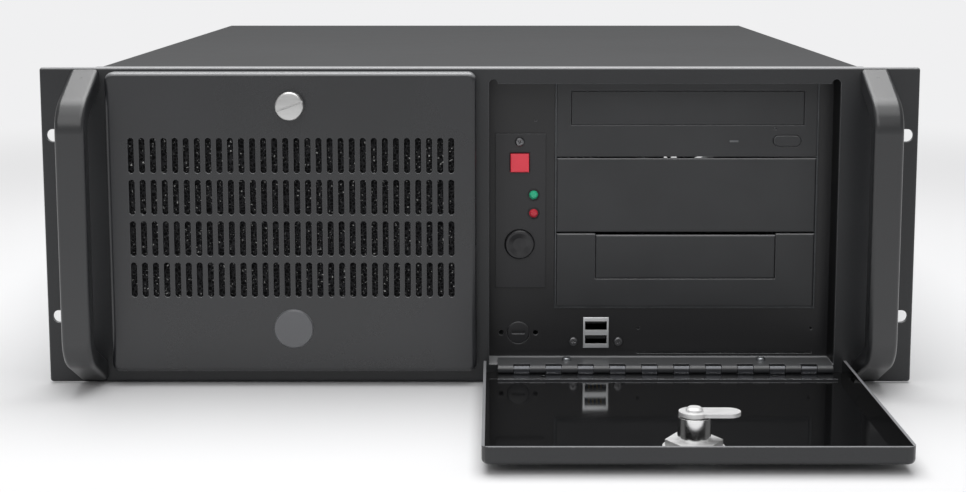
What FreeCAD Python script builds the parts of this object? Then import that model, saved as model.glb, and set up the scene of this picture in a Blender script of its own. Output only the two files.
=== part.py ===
import FreeCAD, Part
import os
import re

import Sketcher
from FreeCAD import Placement, Rotation, Vector

# A 4U rack server with a filter door on the left and a flip-down drive door on the right.
# Millimetres. X runs across the front, Y from the front to the rear and Z upwards.
# The origin is the centre of the underside. Pieces are drawn from the front face of the panel
# (Y = 0), and each one's placement then moves it forward by half the depth of the case.

SIZES = {
    # case
    "body_width": 422.0,
    "body_height": 176.0,
    "body_depth": 490.0,
    "sheet": 1.2,
    "slide_gap": 0.2,
    "contact_gap": 0.3,
    "cover_flange": 14.0,
    "cover_screw_span": 150.0,
    "vent_count": 12,
    "vent_inset": 14.0,
    "vent_pitch": 10.0,
    "vent_width": 5.0,
    "vent_bottom": 70.0,
    "vent_height": 70.0,
    "wall_flange": 9.0,
    "flange_setback": 20.0,
    # front panel and rack slots
    "panel_width": 482.6,
    "panel_height": 176.5,
    "panel_bottom": 0.5,
    "panel_thick": 2.5,
    "panel_corner": 1.7,
    "panel_bend": 1.4,
    "lip_depth": 8.0,
    "rack_span": 465.1,
    "rack_rise": 101.6,
    "rack_slot_length": 12.0,
    "rack_slot_width": 7.0,
    # box brackets behind the ears
    "bracket_width": 11.0,
    "bracket_reach": 30.0,
    "bracket_margin": 2.0,
    "bracket_sheet": 1.5,
    # handles
    "handle_offset": 216.5,
    "handle_width": 16.0,
    "handle_reach": 39.0,
    "handle_thick": 11.0,
    "handle_drop": 18.9,
    "handle_margin": 1.0,
    "handle_bend": 20.0,
    "handle_edge": 2.5,
    "handle_screw": 2.0,
    "handle_screw_head": 3.5,
    "handle_screw_bite": 8.0,
    # both doors
    "door_sheet": 1.5,
    "door_proud": 9.25,
    "door_corner": 4.5,
    "door_edge": 2.4,
    "door_inner_corner": 2.0,
    "hinge_depth": 5.0,
    # filter door
    "filter_width": 202.0,
    "filter_side": 2.0,
    "filter_bottom": 8.4,
    "filter_height": 166.5,
    "filter_lug_width": 5.0,
    "filter_lug_radius": 2.4,
    "filter_pin": 1.5,
    "slot_columns": 30,
    "slot_rows": 4,
    "slot_pitch": 6.03,
    "slot_row_pitch": 23.0,
    "slot_width": 3.3,
    "slot_length": 19.5,
    "slot_middle": 95.0,
    "foam_margin": 5.0,
    "foam_thick": 4.0,
    "retainer_sheet": 0.8,
    "retainer_rim": 6.0,
    "fastener_rise": 157.0,
    "fastener_head": 7.75,
    "fastener_height": 6.0,
    "fastener_chamfer": 1.2,
    "fastener_stud": 2.5,
    "fastener_reach": 4.0,
    "fastener_slot": 1.3,
    "fastener_tilt": 20.0,
    "badge_rise": 33.0,
    "badge_radius": 11.0,
    "badge_thick": 0.8,
    # drive door and its piano hinge
    "drive_width": 202.0,
    "drive_side": 2.0,
    "drive_bottom": 4.3,
    "drive_height": 168.2,
    "hinge_left": 9.8,
    "hinge_length": 186.9,
    "knuckles": 21,
    "knuckle_radius": 2.5,
    "knuckle_gap": 0.3,
    "leaf_thick": 1.0,
    "fixed_leaf_reach": 12.0,
    "moving_leaf_reach": 15.0,
    "leaf_screw_left": 38.8,
    "leaf_screw_right": 148.2,
    "leaf_hole_left": 25.2,
    "leaf_hole_right": 153.2,
    "leaf_hole_rise": 9.0,
    "hinge_pin": 1.25,
    "pin_gap": 0.1,
    # cam lock
    "lock_across": 103.0,
    "lock_rise": 150.0,
    "barrel_radius": 8.0,
    "barrel_flange": 10.5,
    "barrel_flange_thick": 1.4,
    "nut_flats": 24.0,
    "nut_thick": 3.5,
    "washer_radius": 15.0,
    "washer_thick": 1.0,
    "plug_radius": 5.5,
    "cam_thick": 2.0,
    "cam_width": 12.0,
    "cam_length": 22.0,
    "cam_screw_head": 4.2,
    "cam_screw_height": 2.0,
    "cam_screw_shank": 2.0,
    # drive opening and the recessed bay panel
    "opening_left": 5.0,
    "opening_right": 198.0,
    "opening_top": 168.0,
    "notch_radius": 2.5,
    "brow_depth": 8.0,
    "recess_depth": 20.0,
    "recess_head": 5.2,
    # control plate
    "plate_left": 8.5,
    "plate_width": 28.3,
    "plate_bottom": 50.5,
    "plate_height": 87.9,
    "plate_thick": 1.2,
    "plate_middle": 22.2,
    "plate_screw_rise": 133.9,
    "window_margin": 1.8,
    "window_room": 3.5,
    "reset_rise": 122.1,
    "reset_width": 10.5,
    "reset_proud": 2.6,
    "button_gap": 0.3,
    "button_depth": 4.5,
    "switch_wall": 1.6,
    "switch_depth": 14.0,
    "power_rise": 75.5,
    "power_radius": 8.2,
    "power_proud": 2.2,
    "power_dish": 0.9,
    "lamp_across": 30.1,
    "power_lamp_rise": 103.8,
    "disk_lamp_rise": 93.3,
    "lamp_radius": 2.5,
    "lamp_proud": 1.6,
    "screw_head": 2.6,
    "screw_height": 1.8,
    "screw_shank": 1.45,
    "screw_length": 5.0,
    # ports below the bays
    "port_across": 21.6,
    "port_rise": 24.1,
    "port_radius": 6.5,
    "port_slot_length": 7.7,
    "port_slot_width": 1.8,
    "port_hole_offset": 9.8,
    "port_hole": 1.5,
    "usb_across": 65.8,
    "usb_rise": 24.5,
    "usb_width": 14.6,
    "usb_height": 17.8,
    "usb_shell": 0.7,
    "usb_depth": 16.0,
    "usb_proud": 1.6,
    "usb_tongue": 1.9,
    "usb_screw_across": 12.85,
    "usb_screw_drop": 5.4,
    "flap_left": 89.3,
    "flap_right": 189.3,
    "flap_bottom": 12.0,
    "flap_slit": 0.9,
    "flap_relief_rise": 26.6,
    "relief_hole": 0.75,
    "pip_across": 31.2,
    "pip_rise": 145.9,
    # drive bays
    "bay_left": 43.0,
    "bay_width": 146.2,
    "bay_bottom": 39.5,
    "bay_height": 42.0,
    "bay_pitch": 43.0,
    "bezel_proud": 1.5,
    "bezel_thick": 3.5,
    "tab_depth": 14.0,
    "tab_height": 10.0,
    "cage_sheet": 0.8,
    "cage_length": 195.0,
    "cage_foot": 12.0,
    "cage_setback": 25.0,
    "cage_slot_first": 45.0,
    "cage_slot_length": 40.0,
    "cage_slot_height": 12.0,
    "tray_front_width": 130.0,
    "tray_front_height": 18.6,
    "tray_front_lift": 18.1,
    "tray_front_left": 8.4,
    "tray_gap": 0.3,
    "tray_thick": 8.0,
    "tray_length": 160.0,
    "disc_radius": 60.5,
    "disc_sink": 2.0,
    "disc_setback": 6.0,
    "optical_length": 170.0,
    "optical_front": 10.0,
    "pinhole_drop": 2.2,
    "eject_room": 6.0,
    "eject_left": 121.6,
    "eject_length": 15.3,
    "eject_height": 5.8,
    "eject_lift": 6.1,
    "eject_proud": 0.8,
    "small_bay_width": 101.4,
    "small_bay_height": 24.8,
    "small_bay_left": 22.4,
    "small_bay_drop": 0.8,
    "disk_width": 101.6,
    "disk_height": 26.1,
    "disk_length": 147.0,
    "disk_setback": 60.0,
    # front fans
    "fan_across": 102.8,
    "fan_size": 92.0,
    "fan_pitch": 93.0,
    "fan_depth": 25.0,
    "fan_bore": 43.5,
    "fan_hub": 18.5,
    "fan_tip_gap": 1.5,
    "fan_strut": 4.0,
    "fan_back": 3.0,
    "fan_blades": 7,
    "blade_thick": 1.4,
    "blade_chord": 26.0,
    "blade_rise": 12.0,
    "hub_chamfer": 2.0,
    "spindle": 2.0,
    # power supply
    "supply_width": 86.0,
    "supply_height": 150.0,
    "supply_depth": 140.0,
    "supply_fan_bore": 38.0,
    "supply_fan_rise": 100.0,
    "supply_wall": 1.0,
    "supply_frame": 4.0,
    "supply_vents": 9,
    "guard_bar": 2.4,
    "guard_rings": 4,
    "inlet_width": 27.0,
    "inlet_height": 20.0,
    "inlet_depth": 18.0,
    "inlet_wall": 1.6,
    "inlet_rise": 32.0,
    "inlet_pin": 2.0,
    "inlet_pin_span": 7.0,
    "inlet_pin_sink": 3.0,
    "rocker_width": 13.0,
    "rocker_height": 19.0,
    "rocker_offset": 24.0,
    "rocker_sink": 3.2,
    "rocker_tilt": 8.0,
    "rocker_pin": 1.2,
    # motherboard and what it carries
    "board_width": 305.0,
    "board_depth": 244.0,
    "board_thick": 1.6,
    "board_rise": 8.0,
    "board_right": 120.0,
    "board_setback": 3.0,
    "stand_off": 3.0,
    "slot_count": 7,
    "card_pitch": 20.32,
    "card_width": 18.4,
    "card_height": 112.0,
    "card_sheet": 1.0,
    "card_frame": 2.0,
    "card_head": 8.0,
    "card_fold": 12.0,
    "port_block_width": 150.0,
    "port_block_height": 36.0,
    "port_block_depth": 22.0,
    "jack_radius": 3.0,
    "sink_width": 90.0,
    "sink_depth": 90.0,
    "sink_height": 64.0,
    "sink_base": 8.0,
    "fin_count": 16,
    "fin_thick": 1.2,
    "sink_inset": 29.0,
    "sink_setback": 71.0,
    "chip_height": 2.0,
    "socket_rise": 8.0,
    "socket_width": 8.0,
    "socket_length": 100.0,
    "socket_setback": 50.0,
    "post_inset": 8.0,
    "module_inset": 13.0,
    "module_setback": 14.0,
    "module_count": 4,
    "module_pitch": 10.0,
    "module_length": 133.0,
    "module_height": 31.0,
    "module_thick": 1.4,
}

# Places that follow from the sizes.
PLACES = {
    "front_y": "-body_depth/2",
    "half_body": "body_width/2",
    "half_wall": "half_body - sheet - slide_gap",
    "panel_top": "panel_bottom + panel_height",
    "panel_middle": "panel_bottom + panel_height/2",
    "cover_under": "body_height - sheet",
    "case_rear": "body_depth - sheet",
    "bracket_in": "half_body + contact_gap",
    "bracket_out": "bracket_in + bracket_width",
    "leg_height": "handle_thick*sqrt(handle_reach*handle_reach + handle_drop*handle_drop)/handle_reach",
    "foot_top": "panel_top - handle_margin",
    "foot_bottom": "panel_bottom + handle_margin",
    "grip_back": "handle_reach - handle_thick",
    "grip_drop": "handle_drop*grip_back/handle_reach",
    "toe_radius": "hinge_depth - contact_gap",
    "door_inner": "door_proud - door_sheet",
    "filter_left": "-filter_side - filter_width",
    "filter_middle": "-filter_side - filter_width/2",
    "filter_top": "filter_bottom + filter_height",
    "filter_axis": "filter_bottom + toe_radius",
    "slot_field_width": "slot_pitch*(slot_columns - 1) + slot_width",
    "slot_field_height": "slot_row_pitch*(slot_rows - 1) + slot_length",
    "foam_half_width": "slot_field_width/2 + foam_margin",
    "foam_half_height": "slot_field_height/2 + foam_margin",
    "foam_back": "door_inner - foam_thick",
    "lug_start": "filter_left + door_sheet + contact_gap",
    "drive_right": "drive_side + drive_width",
    "drive_top": "drive_bottom + drive_height",
    "drive_axis": "drive_bottom + toe_radius",
    "knuckle_step": "hinge_length/knuckles",
    "leaf_top": "drive_axis + knuckle_radius",
    "sill_top": "leaf_top - leaf_thick",
    "cam_front": "brow_depth + 2*contact_gap",
    "cam_back": "cam_front + cam_thick",
    "bay_right": "bay_left + bay_width",
    "bay_top": "bay_bottom + 2*bay_pitch + bay_height",
    "bezel_front": "recess_depth - bezel_proud",
    "bezel_back": "bezel_front + bezel_thick",
    "cage_left": "bay_left - cage_sheet",
    "cage_right": "bay_right + cage_sheet",
    "cage_back": "recess_depth + cage_length",
    "recess_top": "opening_top + recess_head",
    "plate_front": "recess_depth - plate_thick",
    "optical_bottom": "bay_bottom + 2*bay_pitch",
    "tray_left": "bay_left + tray_front_left",
    "tray_right": "tray_left + tray_front_width",
    "tray_bottom": "optical_bottom + tray_front_lift",
    "tray_top": "tray_bottom + tray_front_height",
    "adapter_left": "bay_left + small_bay_left",
    "adapter_right": "adapter_left + small_bay_width",
    "adapter_top": "bay_bottom + bay_height - small_bay_drop",
    "adapter_bottom": "adapter_top - small_bay_height",
    "fan_front": "panel_thick",
    "fan_rear": "panel_thick + fan_depth",
    "fan_radius": "fan_bore - fan_tip_gap",
    "blade_start": "sqrt(fan_hub*fan_hub - blade_chord*blade_chord/4) - blade_thick",
    "supply_right": "half_wall - sheet - contact_gap",
    "supply_left": "supply_right - supply_width",
    "supply_middle": "supply_right - supply_width/2",
    "supply_front": "case_rear - supply_depth",
    "supply_top": "sheet + supply_height",
    "supply_fan_radius": "supply_fan_bore - fan_tip_gap",
    "board_left": "board_right - board_width",
    "board_back": "case_rear - board_setback",
    "board_front": "board_back - board_depth",
    "board_top": "board_rise + board_thick",
    "card_first": "board_left + card_pitch/2 + 2",
    "card_foot": "board_top + 2",
    "ports_left": "board_right - port_block_width - 4",
    "sink_left": "board_right - sink_inset - sink_width",
    "sink_front": "board_back - sink_setback - sink_depth",
    "module_left": "board_right - module_inset - module_length",
}

# Sockets in the rear port block: distance from its left end, width, height above the board, height.
REAR_SOCKETS = [(6, 13, 4, 12), (6, 13, 18, 12), (26, 31, 5, 10), (26, 31, 19, 10)]
REAR_SOCKETS += [(64, 14, 3, 14), (64, 14, 19, 12), (84, 16, 4, 14), (84, 16, 20, 11)]
# Round jacks in the same block: distance from its left end and height above the board.
REAR_JACKS = [(place, rise) for place in (112, 125, 138) for rise in (9, 22)]

WORD = re.compile(r"[a-z][a-z0-9_]*")
TURNS = {
    "x": Rotation(Vector(0, 1, 0), 90),
    "y": Rotation(Vector(1, 0, 0), -90),
    "z": Rotation(),
}
NEAR = 0.01

doc = FreeCAD.newDocument("rack_server")
sheet = doc.addObject("Spreadsheet::Sheet", "dims")
for row, (name, value) in enumerate(SIZES.items(), 1):
    sheet.set(f"A{row}", name)
    sheet.set(f"B{row}", str(value))
    sheet.setAlias(f"B{row}", name)
doc.recompute()

nodes = []


def spelled(text, write):
    """Replace each named size or place in an expression."""

    def swap(match):
        word = match.group()
        if word in PLACES:
            return "(" + spelled(PLACES[word], write) + ")"
        return write(word) if word in SIZES else word

    return WORD.sub(swap, text)


def cell(text):
    """The expression that binds a property to the sheet."""
    return spelled(text, lambda word: "dims." + word)


def number(text):
    """The present value of an expression, read from the sheet."""
    return FreeCAD.Units.Quantity(spelled(text, lambda word: f"({sheet.get(word)})")).Value


def bind(item, sizes):
    for path, text in sizes.items():
        item.setExpression(path, cell(text))


def put(item, x="0", y="0", z="0", turn=None):
    if turn is not None:
        item.Placement = Placement(Vector(), turn)
    bind(item, {"Placement.Base.x": x, "Placement.Base.y": y, "Placement.Base.z": z})
    return item


def block(across, along, up):
    """A box between two X, two Y and two Z values."""
    item = doc.addObject("Part::Box", "block")
    for side, (low, high) in zip(("Length", "Width", "Height"), (across, along, up)):
        item.setExpression(side, cell(f"({high}) - ({low})"))
    return put(item, across[0], along[0], up[0])


def rod(axis, start, radius, length):
    """A cylinder that starts at a point and runs along an axis."""
    item = doc.addObject("Part::Cylinder", "rod")
    bind(item, {"Radius": radius, "Height": length})
    return put(item, *start, turn=TURNS[axis])


def group(*items):
    item = doc.addObject("Part::Compound", "group")
    item.Links = list(items)
    return item


def fuse(*items):
    item = doc.addObject("Part::MultiFuse", "fuse")
    item.Shapes = list(items)
    item.Refine = True
    return item


def cut(base, *tools):
    item = doc.addObject("Part::Cut", "cut")
    item.Base = base
    item.Tool = tools[0] if len(tools) == 1 else group(*tools)
    return item


def mirror(source):
    item = doc.addObject("Part::Mirroring", "mirror")
    item.Source = source
    item.Normal = Vector(1, 0, 0)
    return item


def at(item, x="0", y="0", z="0", turn=None):
    """The same solid in another place."""
    return put(group(item), x, y, z, turn)


def obround(across, along, up):
    """A slot along X with round ends, cut through in Y."""
    half = f"(({up[1]}) - ({up[0]}))/2"
    middle = f"(({up[1]}) + ({up[0]}))/2"
    depth = f"({along[1]}) - ({along[0]})"
    left, right = f"({across[0]}) + {half}", f"({across[1]}) - {half}"
    ends = [rod("y", (x, along[0], middle), half, depth) for x in (left, right)]
    return fuse(block((left, right), along, up), *ends)


def rounded(item, radius, choose):
    """Round the edges of a solid that the test picks."""
    doc.recompute()
    result = doc.addObject("Part::Fillet", "rounded")
    result.Base = item
    size = number(radius)
    edges = enumerate(item.Shape.Edges, 1)
    result.Edges = [(index, size, size) for index, edge in edges if choose(edge)]
    return result


def is_near(value, text):
    return abs(value - number(text)) < NEAR


def along_axis(edge, axis):
    """True for a straight edge along X, Y or Z."""
    if edge.Curve.TypeId != "Part::GeomLine":
        return False
    return abs(abs(getattr(edge.Curve.Direction, axis)) - 1) < NEAR


def new_body(name):
    return doc.addObject("PartDesign::Body", name)


def sketch_on(body, role, offset="0"):
    """A sketch on one of the body's own planes, moved along the plane's normal."""
    sketch = body.newObject("Sketcher::SketchObject", "sketch")
    planes = [item for item in body.Origin.OriginFeatures if item.Role == role]
    sketch.AttachmentSupport = [(planes[0], "")]
    sketch.MapMode = "FlatFace"
    sketch.setExpression("AttachmentOffset.Base.z", cell(offset))
    return sketch


def pin_point(sketch, geometry, position, point):
    for kind, text in zip(("DistanceX", "DistanceY"), point):
        limit = Sketcher.Constraint(kind, -1, 1, geometry, position, number(text))
        index = sketch.addConstraint(limit)
        sketch.setExpression(f"Constraints[{index}]", cell(text))


def polygon(sketch, points):
    """A closed outline whose corners are tied to the sheet."""
    places = [Vector(number(x), number(y), 0) for x, y in points]
    first = sketch.GeometryCount
    count = len(points)
    for index in range(count):
        sketch.addGeometry(Part.LineSegment(places[index], places[(index + 1) % count]))
    for index in range(count):
        after = first + (index + 1) % count
        sketch.addConstraint(Sketcher.Constraint("Coincident", first + index, 2, after, 1))
        pin_point(sketch, first + index, 1, points[index])
    return sketch


def rectangle(sketch, across, up):
    left, right = across
    low, high = up
    return polygon(sketch, [(left, low), (right, low), (right, high), (left, high)])


def circle(sketch, x, y, radius):
    place = Vector(number(x), number(y), 0)
    ring = Part.Circle(place, Vector(0, 0, 1), number(radius))
    geometry = sketch.addGeometry(ring)
    pin_point(sketch, geometry, 3, (x, y))
    index = sketch.addConstraint(Sketcher.Constraint("Radius", geometry, number(radius)))
    sketch.setExpression(f"Constraints[{index}]", cell(radius))
    return sketch


def pad(body, sketch, length, back=False, both=False):
    feature = body.newObject("PartDesign::Pad", "pad")
    feature.Profile = sketch
    feature.setExpression("Length", cell(length))
    feature.Reversed = back
    feature.Midplane = both
    return feature


def pocket(body, sketch, length, back=False, both=False):
    """Cut a sketch into the body, and check that the cut removes something."""
    doc.recompute()
    before = body.Shape.Volume
    feature = body.newObject("PartDesign::Pocket", "pocket")
    feature.Profile = sketch
    feature.setExpression("Length", cell(length))
    feature.Reversed = back
    feature.Midplane = both
    doc.recompute()
    if body.Shape.Volume > before - NEAR:
        raise ValueError(f"a pocket in {body.Name} cuts nothing")
    return feature


def fillet(body, radius, choose):
    doc.recompute()
    base = body.Tip
    names = [f"Edge{i}" for i, edge in enumerate(base.Shape.Edges, 1) if choose(edge)]
    feature = body.newObject("PartDesign::Fillet", "fillet")
    feature.Base = (base, names)
    feature.setExpression("Radius", cell(radius))
    return feature


def row_of(body, features, axis, length, count):
    """A straight pattern of features along one of the body's axes."""
    doc.recompute()
    feature = body.newObject("PartDesign::LinearPattern", "row")
    feature.Originals = features
    axes = [item for item in body.Origin.OriginFeatures if item.Role == axis]
    feature.Direction = (axes[0], [""])
    bind(feature, {"Length": length, "Occurrences": count})
    body.Tip = feature
    return feature


def turned(points):
    """A solid of revolution about Y, from corners given as radius and Y."""
    body = new_body("turned")
    sketch = polygon(sketch_on(body, "XY_Plane"), points)
    feature = body.newObject("PartDesign::Revolution", "revolution")
    feature.Profile = sketch
    feature.ReferenceAxis = (sketch, ["V_Axis"])
    feature.Angle = 360
    return body


def node(label, *items, x="0", y="front_y", z="0", turn=None):
    """A named piece: its solids, placed in the part's own frame."""
    item = at(items[0], x, y, z, turn) if len(items) == 1 else put(group(*items), x, y, z, turn)
    item.Label = label
    nodes.append(item)
    return item


def door_node(label, *items):
    """A piece of the drive door, drawn closed and laid open about the hinge line."""
    lay_open = Rotation(Vector(1, 0, 0), 90)
    shift = {"y": "front_y + drive_axis - hinge_depth", "z": "drive_axis + hinge_depth"}
    return node(label, *items, turn=lay_open, **shift)


def hexagon(flats):
    """Corners of a hexagon across the given flats, as expressions."""
    half = f"({flats})/2"
    side = f"({flats})/sqrt(3)"
    return [
        (side, "0"),
        (f"{side}/2", half),
        (f"-{side}/2", half),
        (f"-{side}", "0"),
        (f"-{side}/2", f"-{half}"),
        (f"{side}/2", f"-{half}"),
    ]


def pan_screw(length):
    """A pan-head screw along Y with its head in front of Y = 0."""
    return turned(
        [
            ("0", "-screw_height"),
            ("screw_head*0.6", "-screw_height"),
            ("screw_head", "-screw_height*0.35"),
            ("screw_head", "0"),
            ("screw_shank", "0"),
            ("screw_shank", length),
            ("0", length),
        ]
    )


def make_front_panel():
    wide = ("-panel_width/2", "panel_width/2")
    plate = block(wide, ("0", "panel_thick"), ("panel_bottom", "panel_top"))
    lip = block(("-half_body", "half_body"), ("0", "lip_depth"), ("cover_under", "panel_top"))
    hole = ("opening_left", "opening_right")
    sill = block(hole, ("0", "recess_depth"), ("sill_top - panel_thick", "sill_top"))
    brow_span = ("opening_left + 2*notch_radius", "opening_right - 2*notch_radius")
    brow = block(brow_span, ("0", "brow_depth"), ("opening_top", "opening_top + panel_thick"))
    through = ("-1", "panel_thick + 1")
    deep = "panel_thick + 2"
    tools = [block(hole, ("-1", "panel_thick"), ("sill_top", "opening_top"))]
    for x in ("opening_left + notch_radius", "opening_right - notch_radius"):
        tools.append(rod("y", (x, "-1", "opening_top"), "notch_radius", deep))
    for side in ("-", "+"):
        fan = f"-fan_across {side} fan_pitch/2"
        tools.append(rod("y", (fan, "-1", "slot_middle"), "fan_bore", deep))
        for level in ("-", "+"):
            rise = f"panel_middle {level} rack_rise/2"
            slot = (f"{side}rack_span/2 - rack_slot_length/2", f"{side}rack_span/2 + rack_slot_length/2")
            up = (f"{rise} - rack_slot_width/2", f"{rise} + rack_slot_width/2")
            tools.append(obround(slot, through, up))
        for foot in ("foot_top - leg_height/2", "foot_bottom + leg_height/2"):
            tools.append(rod("y", (f"{side}handle_offset", "-1", foot), "handle_screw + contact_gap", deep))
    stud = "fastener_stud + 4*contact_gap"
    tools.append(rod("y", ("filter_middle", "-1", "fastener_rise"), stud, deep))
    for across in ("hinge_left + leaf_screw_left", "hinge_left + leaf_screw_right"):
        start = (across, "fixed_leaf_reach/2", "sill_top - panel_thick - 1")
        tools.append(rod("z", start, "screw_shank + pin_gap", "panel_thick + 2"))
    panel = cut(fuse(plate, lip, sill, brow), *tools)
    corners = rounded(panel, "panel_corner", lambda e: along_axis(e, "y") and is_near(
        abs(e.CenterOfMass.x), "panel_width/2"))
    edge = rounded(corners, "panel_bend", lambda e: along_axis(e, "x") and is_near(
        e.CenterOfMass.y, "0") and is_near(e.CenterOfMass.z, "panel_top"))
    node("front_panel", edge)


def make_brackets():
    up = ("panel_bottom + bracket_margin", "panel_top - bracket_margin")
    box = block(("bracket_in", "bracket_out"), ("panel_thick", "bracket_reach"), up)
    inside = block(
        ("bracket_in - 1", "bracket_out - bracket_sheet"),
        ("panel_thick + bracket_sheet", "bracket_reach - bracket_sheet"),
        (f"{up[0]} + bracket_sheet", f"{up[1]} - bracket_sheet"),
    )
    holes = []
    for foot in ("foot_top - leg_height/2", "foot_bottom + leg_height/2"):
        start = ("handle_offset", "panel_thick - 1", foot)
        holes.append(rod("y", start, "handle_screw + contact_gap", "bracket_sheet + 2"))
    right = cut(box, inside, *holes)
    node("ear_brackets", right, mirror(right))


def make_handle():
    """A flat bar bent to a bow, with slanting legs and softened edges."""
    body = new_body("handle")
    profile = sketch_on(body, "YZ_Plane")
    polygon(
        profile,
        [
            ("0", "foot_top"),
            ("-handle_reach", "foot_top - handle_drop"),
            ("-handle_reach", "foot_bottom + handle_drop"),
            ("0", "foot_bottom"),
            ("0", "foot_bottom + leg_height"),
            ("-grip_back", "foot_bottom + leg_height + grip_drop"),
            ("-grip_back", "foot_top - leg_height - grip_drop"),
            ("0", "foot_top - leg_height"),
        ],
    )
    pad(body, profile, "handle_width", both=True)
    fillet(body, "handle_bend", lambda e: along_axis(e, "x") and is_near(e.CenterOfMass.y, "-handle_reach"))
    fillet(body, "handle_bend - handle_thick", lambda e: along_axis(e, "x") and is_near(
        e.CenterOfMass.y, "-grip_back"))
    fillet(body, "handle_edge", lambda e: is_near(abs(e.CenterOfMass.x), "handle_width/2")
           and not is_near(e.CenterOfMass.y, "0"))
    for foot in ("foot_top - leg_height/2", "foot_bottom + leg_height/2"):
        hole = circle(sketch_on(body, "XZ_Plane"), "0", foot, "handle_screw")
        pocket(body, hole, "handle_screw_bite + contact_gap", back=True)
    return body


def make_handle_screws():
    seat = "panel_thick + bracket_sheet"
    screws = []
    for side in ("-", "+"):
        for foot in ("foot_top - leg_height/2", "foot_bottom + leg_height/2"):
            x = f"{side}handle_offset"
            head = rod("y", (x, seat, foot), "handle_screw_head", "handle_screw_head*0.8")
            shank = rod("y", (x, "-handle_screw_bite", foot), "handle_screw", f"handle_screw_bite + {seat}")
            screws.append(fuse(head, shank))
    node("handle_screws", *screws)


def make_pan(name, left, right, low, high, floor):
    """A sheet pan with rims on its sides and top, drawn closed in front of the panel."""
    body = new_body(name)
    outline = rectangle(sketch_on(body, "XZ_Plane", "contact_gap"), (left, right), (low, high))
    pad(body, outline, "door_proud - contact_gap")
    fillet(body, "door_corner", lambda e: along_axis(e, "y"))
    fillet(body, "door_edge", lambda e: is_near(e.BoundBox.YMax, "-door_proud"))
    inner = rectangle(
        sketch_on(body, "XZ_Plane", "contact_gap"),
        (f"{left} + door_sheet", f"{right} - door_sheet"),
        (floor, f"{high} - door_sheet"),
    )
    pocket(body, inner, "door_inner - contact_gap", back=True)
    return body


def toe_tool(left, right, low, axis):
    """What has to go from a door's lower rear corner so that it turns clear of the panel."""
    corner = block((f"{left} - 1", f"{right} + 1"), ("-hinge_depth", "0"), (f"{low} - 1", axis))
    start = (f"{left} - 2", "-hinge_depth", axis)
    return cut(corner, rod("x", start, "toe_radius", f"{right} - ({left}) + 4"))


def make_filter_door():
    left, right = "filter_left", "-filter_side"
    body = make_pan("filter_pan", left, right, "filter_bottom", "filter_top", "filter_bottom + door_sheet")
    slot = new_body("slot")
    half, long, chamfer = "slot_width/2", "slot_length/2", "slot_width*0.3"
    outline = polygon(
        sketch_on(slot, "XZ_Plane", "door_proud + 1"),
        [
            (f"-{half} + {chamfer}", f"-{long}"),
            (f"{half} - {chamfer}", f"-{long}"),
            (half, f"-{long} + {chamfer}"),
            (half, f"{long} - {chamfer}"),
            (f"{half} - {chamfer}", long),
            (f"-{half} + {chamfer}", long),
            (f"-{half}", f"{long} - {chamfer}"),
            (f"-{half}", f"-{long} + {chamfer}"),
        ],
    )
    pad(slot, outline, "door_sheet + 2", back=True)
    rows, columns = SIZES["slot_rows"], SIZES["slot_columns"]
    column = group(*[at(slot, z=f"slot_row_pitch*({row} - (slot_rows - 1)/2)") for row in range(rows)])
    tools = [toe_tool(left, right, "filter_bottom", "filter_axis")]
    for place in range(columns):
        x = f"filter_middle + slot_pitch*({place} - (slot_columns - 1)/2)"
        tools.append(at(column, x, z="slot_middle"))
    back = "filter_bottom + door_sheet + contact_gap"
    for start in ("lug_start", "-filter_side - door_sheet - contact_gap - filter_lug_width"):
        notch = (f"{start} - contact_gap", f"{start} + filter_lug_width + contact_gap")
        tools.append(block(notch, ("-door_inner", "0"), ("filter_bottom - 1", back)))
    for start in (left, "-filter_side - door_sheet"):
        tools.append(rod("x", (start, "-hinge_depth", "filter_axis"), "filter_pin", "door_sheet"))
    hole = ("filter_middle", "-door_proud - 1", "fastener_rise")
    tools.append(rod("y", hole, "fastener_stud + contact_gap", "door_sheet + 2"))
    node("filter_door", cut(body, *tools))


def make_filter_hinge():
    lugs, pins = [], []
    for start, pin_start in (
        ("lug_start", "filter_left"),
        ("-filter_side - door_sheet - contact_gap - filter_lug_width",
         "-filter_side - door_sheet - contact_gap - filter_lug_width"),
    ):
        up = ("filter_axis - filter_lug_radius", "filter_axis + filter_lug_radius")
        stem = block((start, f"{start} + filter_lug_width"), ("-hinge_depth", "0"), up)
        axis = (start, "-hinge_depth", "filter_axis")
        eye = rod("x", axis, "filter_lug_radius", "filter_lug_width")
        bore = rod("x", axis, "filter_pin + pin_gap", "filter_lug_width")
        lugs.append(cut(fuse(stem, eye), bore))
        pin = (pin_start, "-hinge_depth", "filter_axis")
        pins.append(rod("x", pin, "filter_pin", "door_sheet + contact_gap + filter_lug_width"))
    node("filter_hinge_lugs", *lugs)
    node("filter_hinge_pins", *pins)


def make_filter():
    def around(extra):
        wide = f"foam_half_width + {extra}"
        tall = f"foam_half_height + {extra}"
        return (f"filter_middle - ({wide})", f"filter_middle + {wide}"), (
            f"slot_middle - ({tall})", f"slot_middle + {tall}")

    across, up = around("0")
    node("filter_foam", block(across, ("-door_inner", "-foam_back"), up))
    across, up = around("retainer_sheet + slide_gap")
    tray = block(across, ("-door_inner", "-foam_back + retainer_sheet"), up)
    across, up = around("slide_gap")
    room = block(across, ("-door_inner - 1", "-foam_back"), up)
    across, up = around("(-retainer_rim)")
    window = block(across, ("-foam_back - 1", "-foam_back + retainer_sheet + 1"), up)
    node("filter_retainer", cut(tray, room, window))


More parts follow.
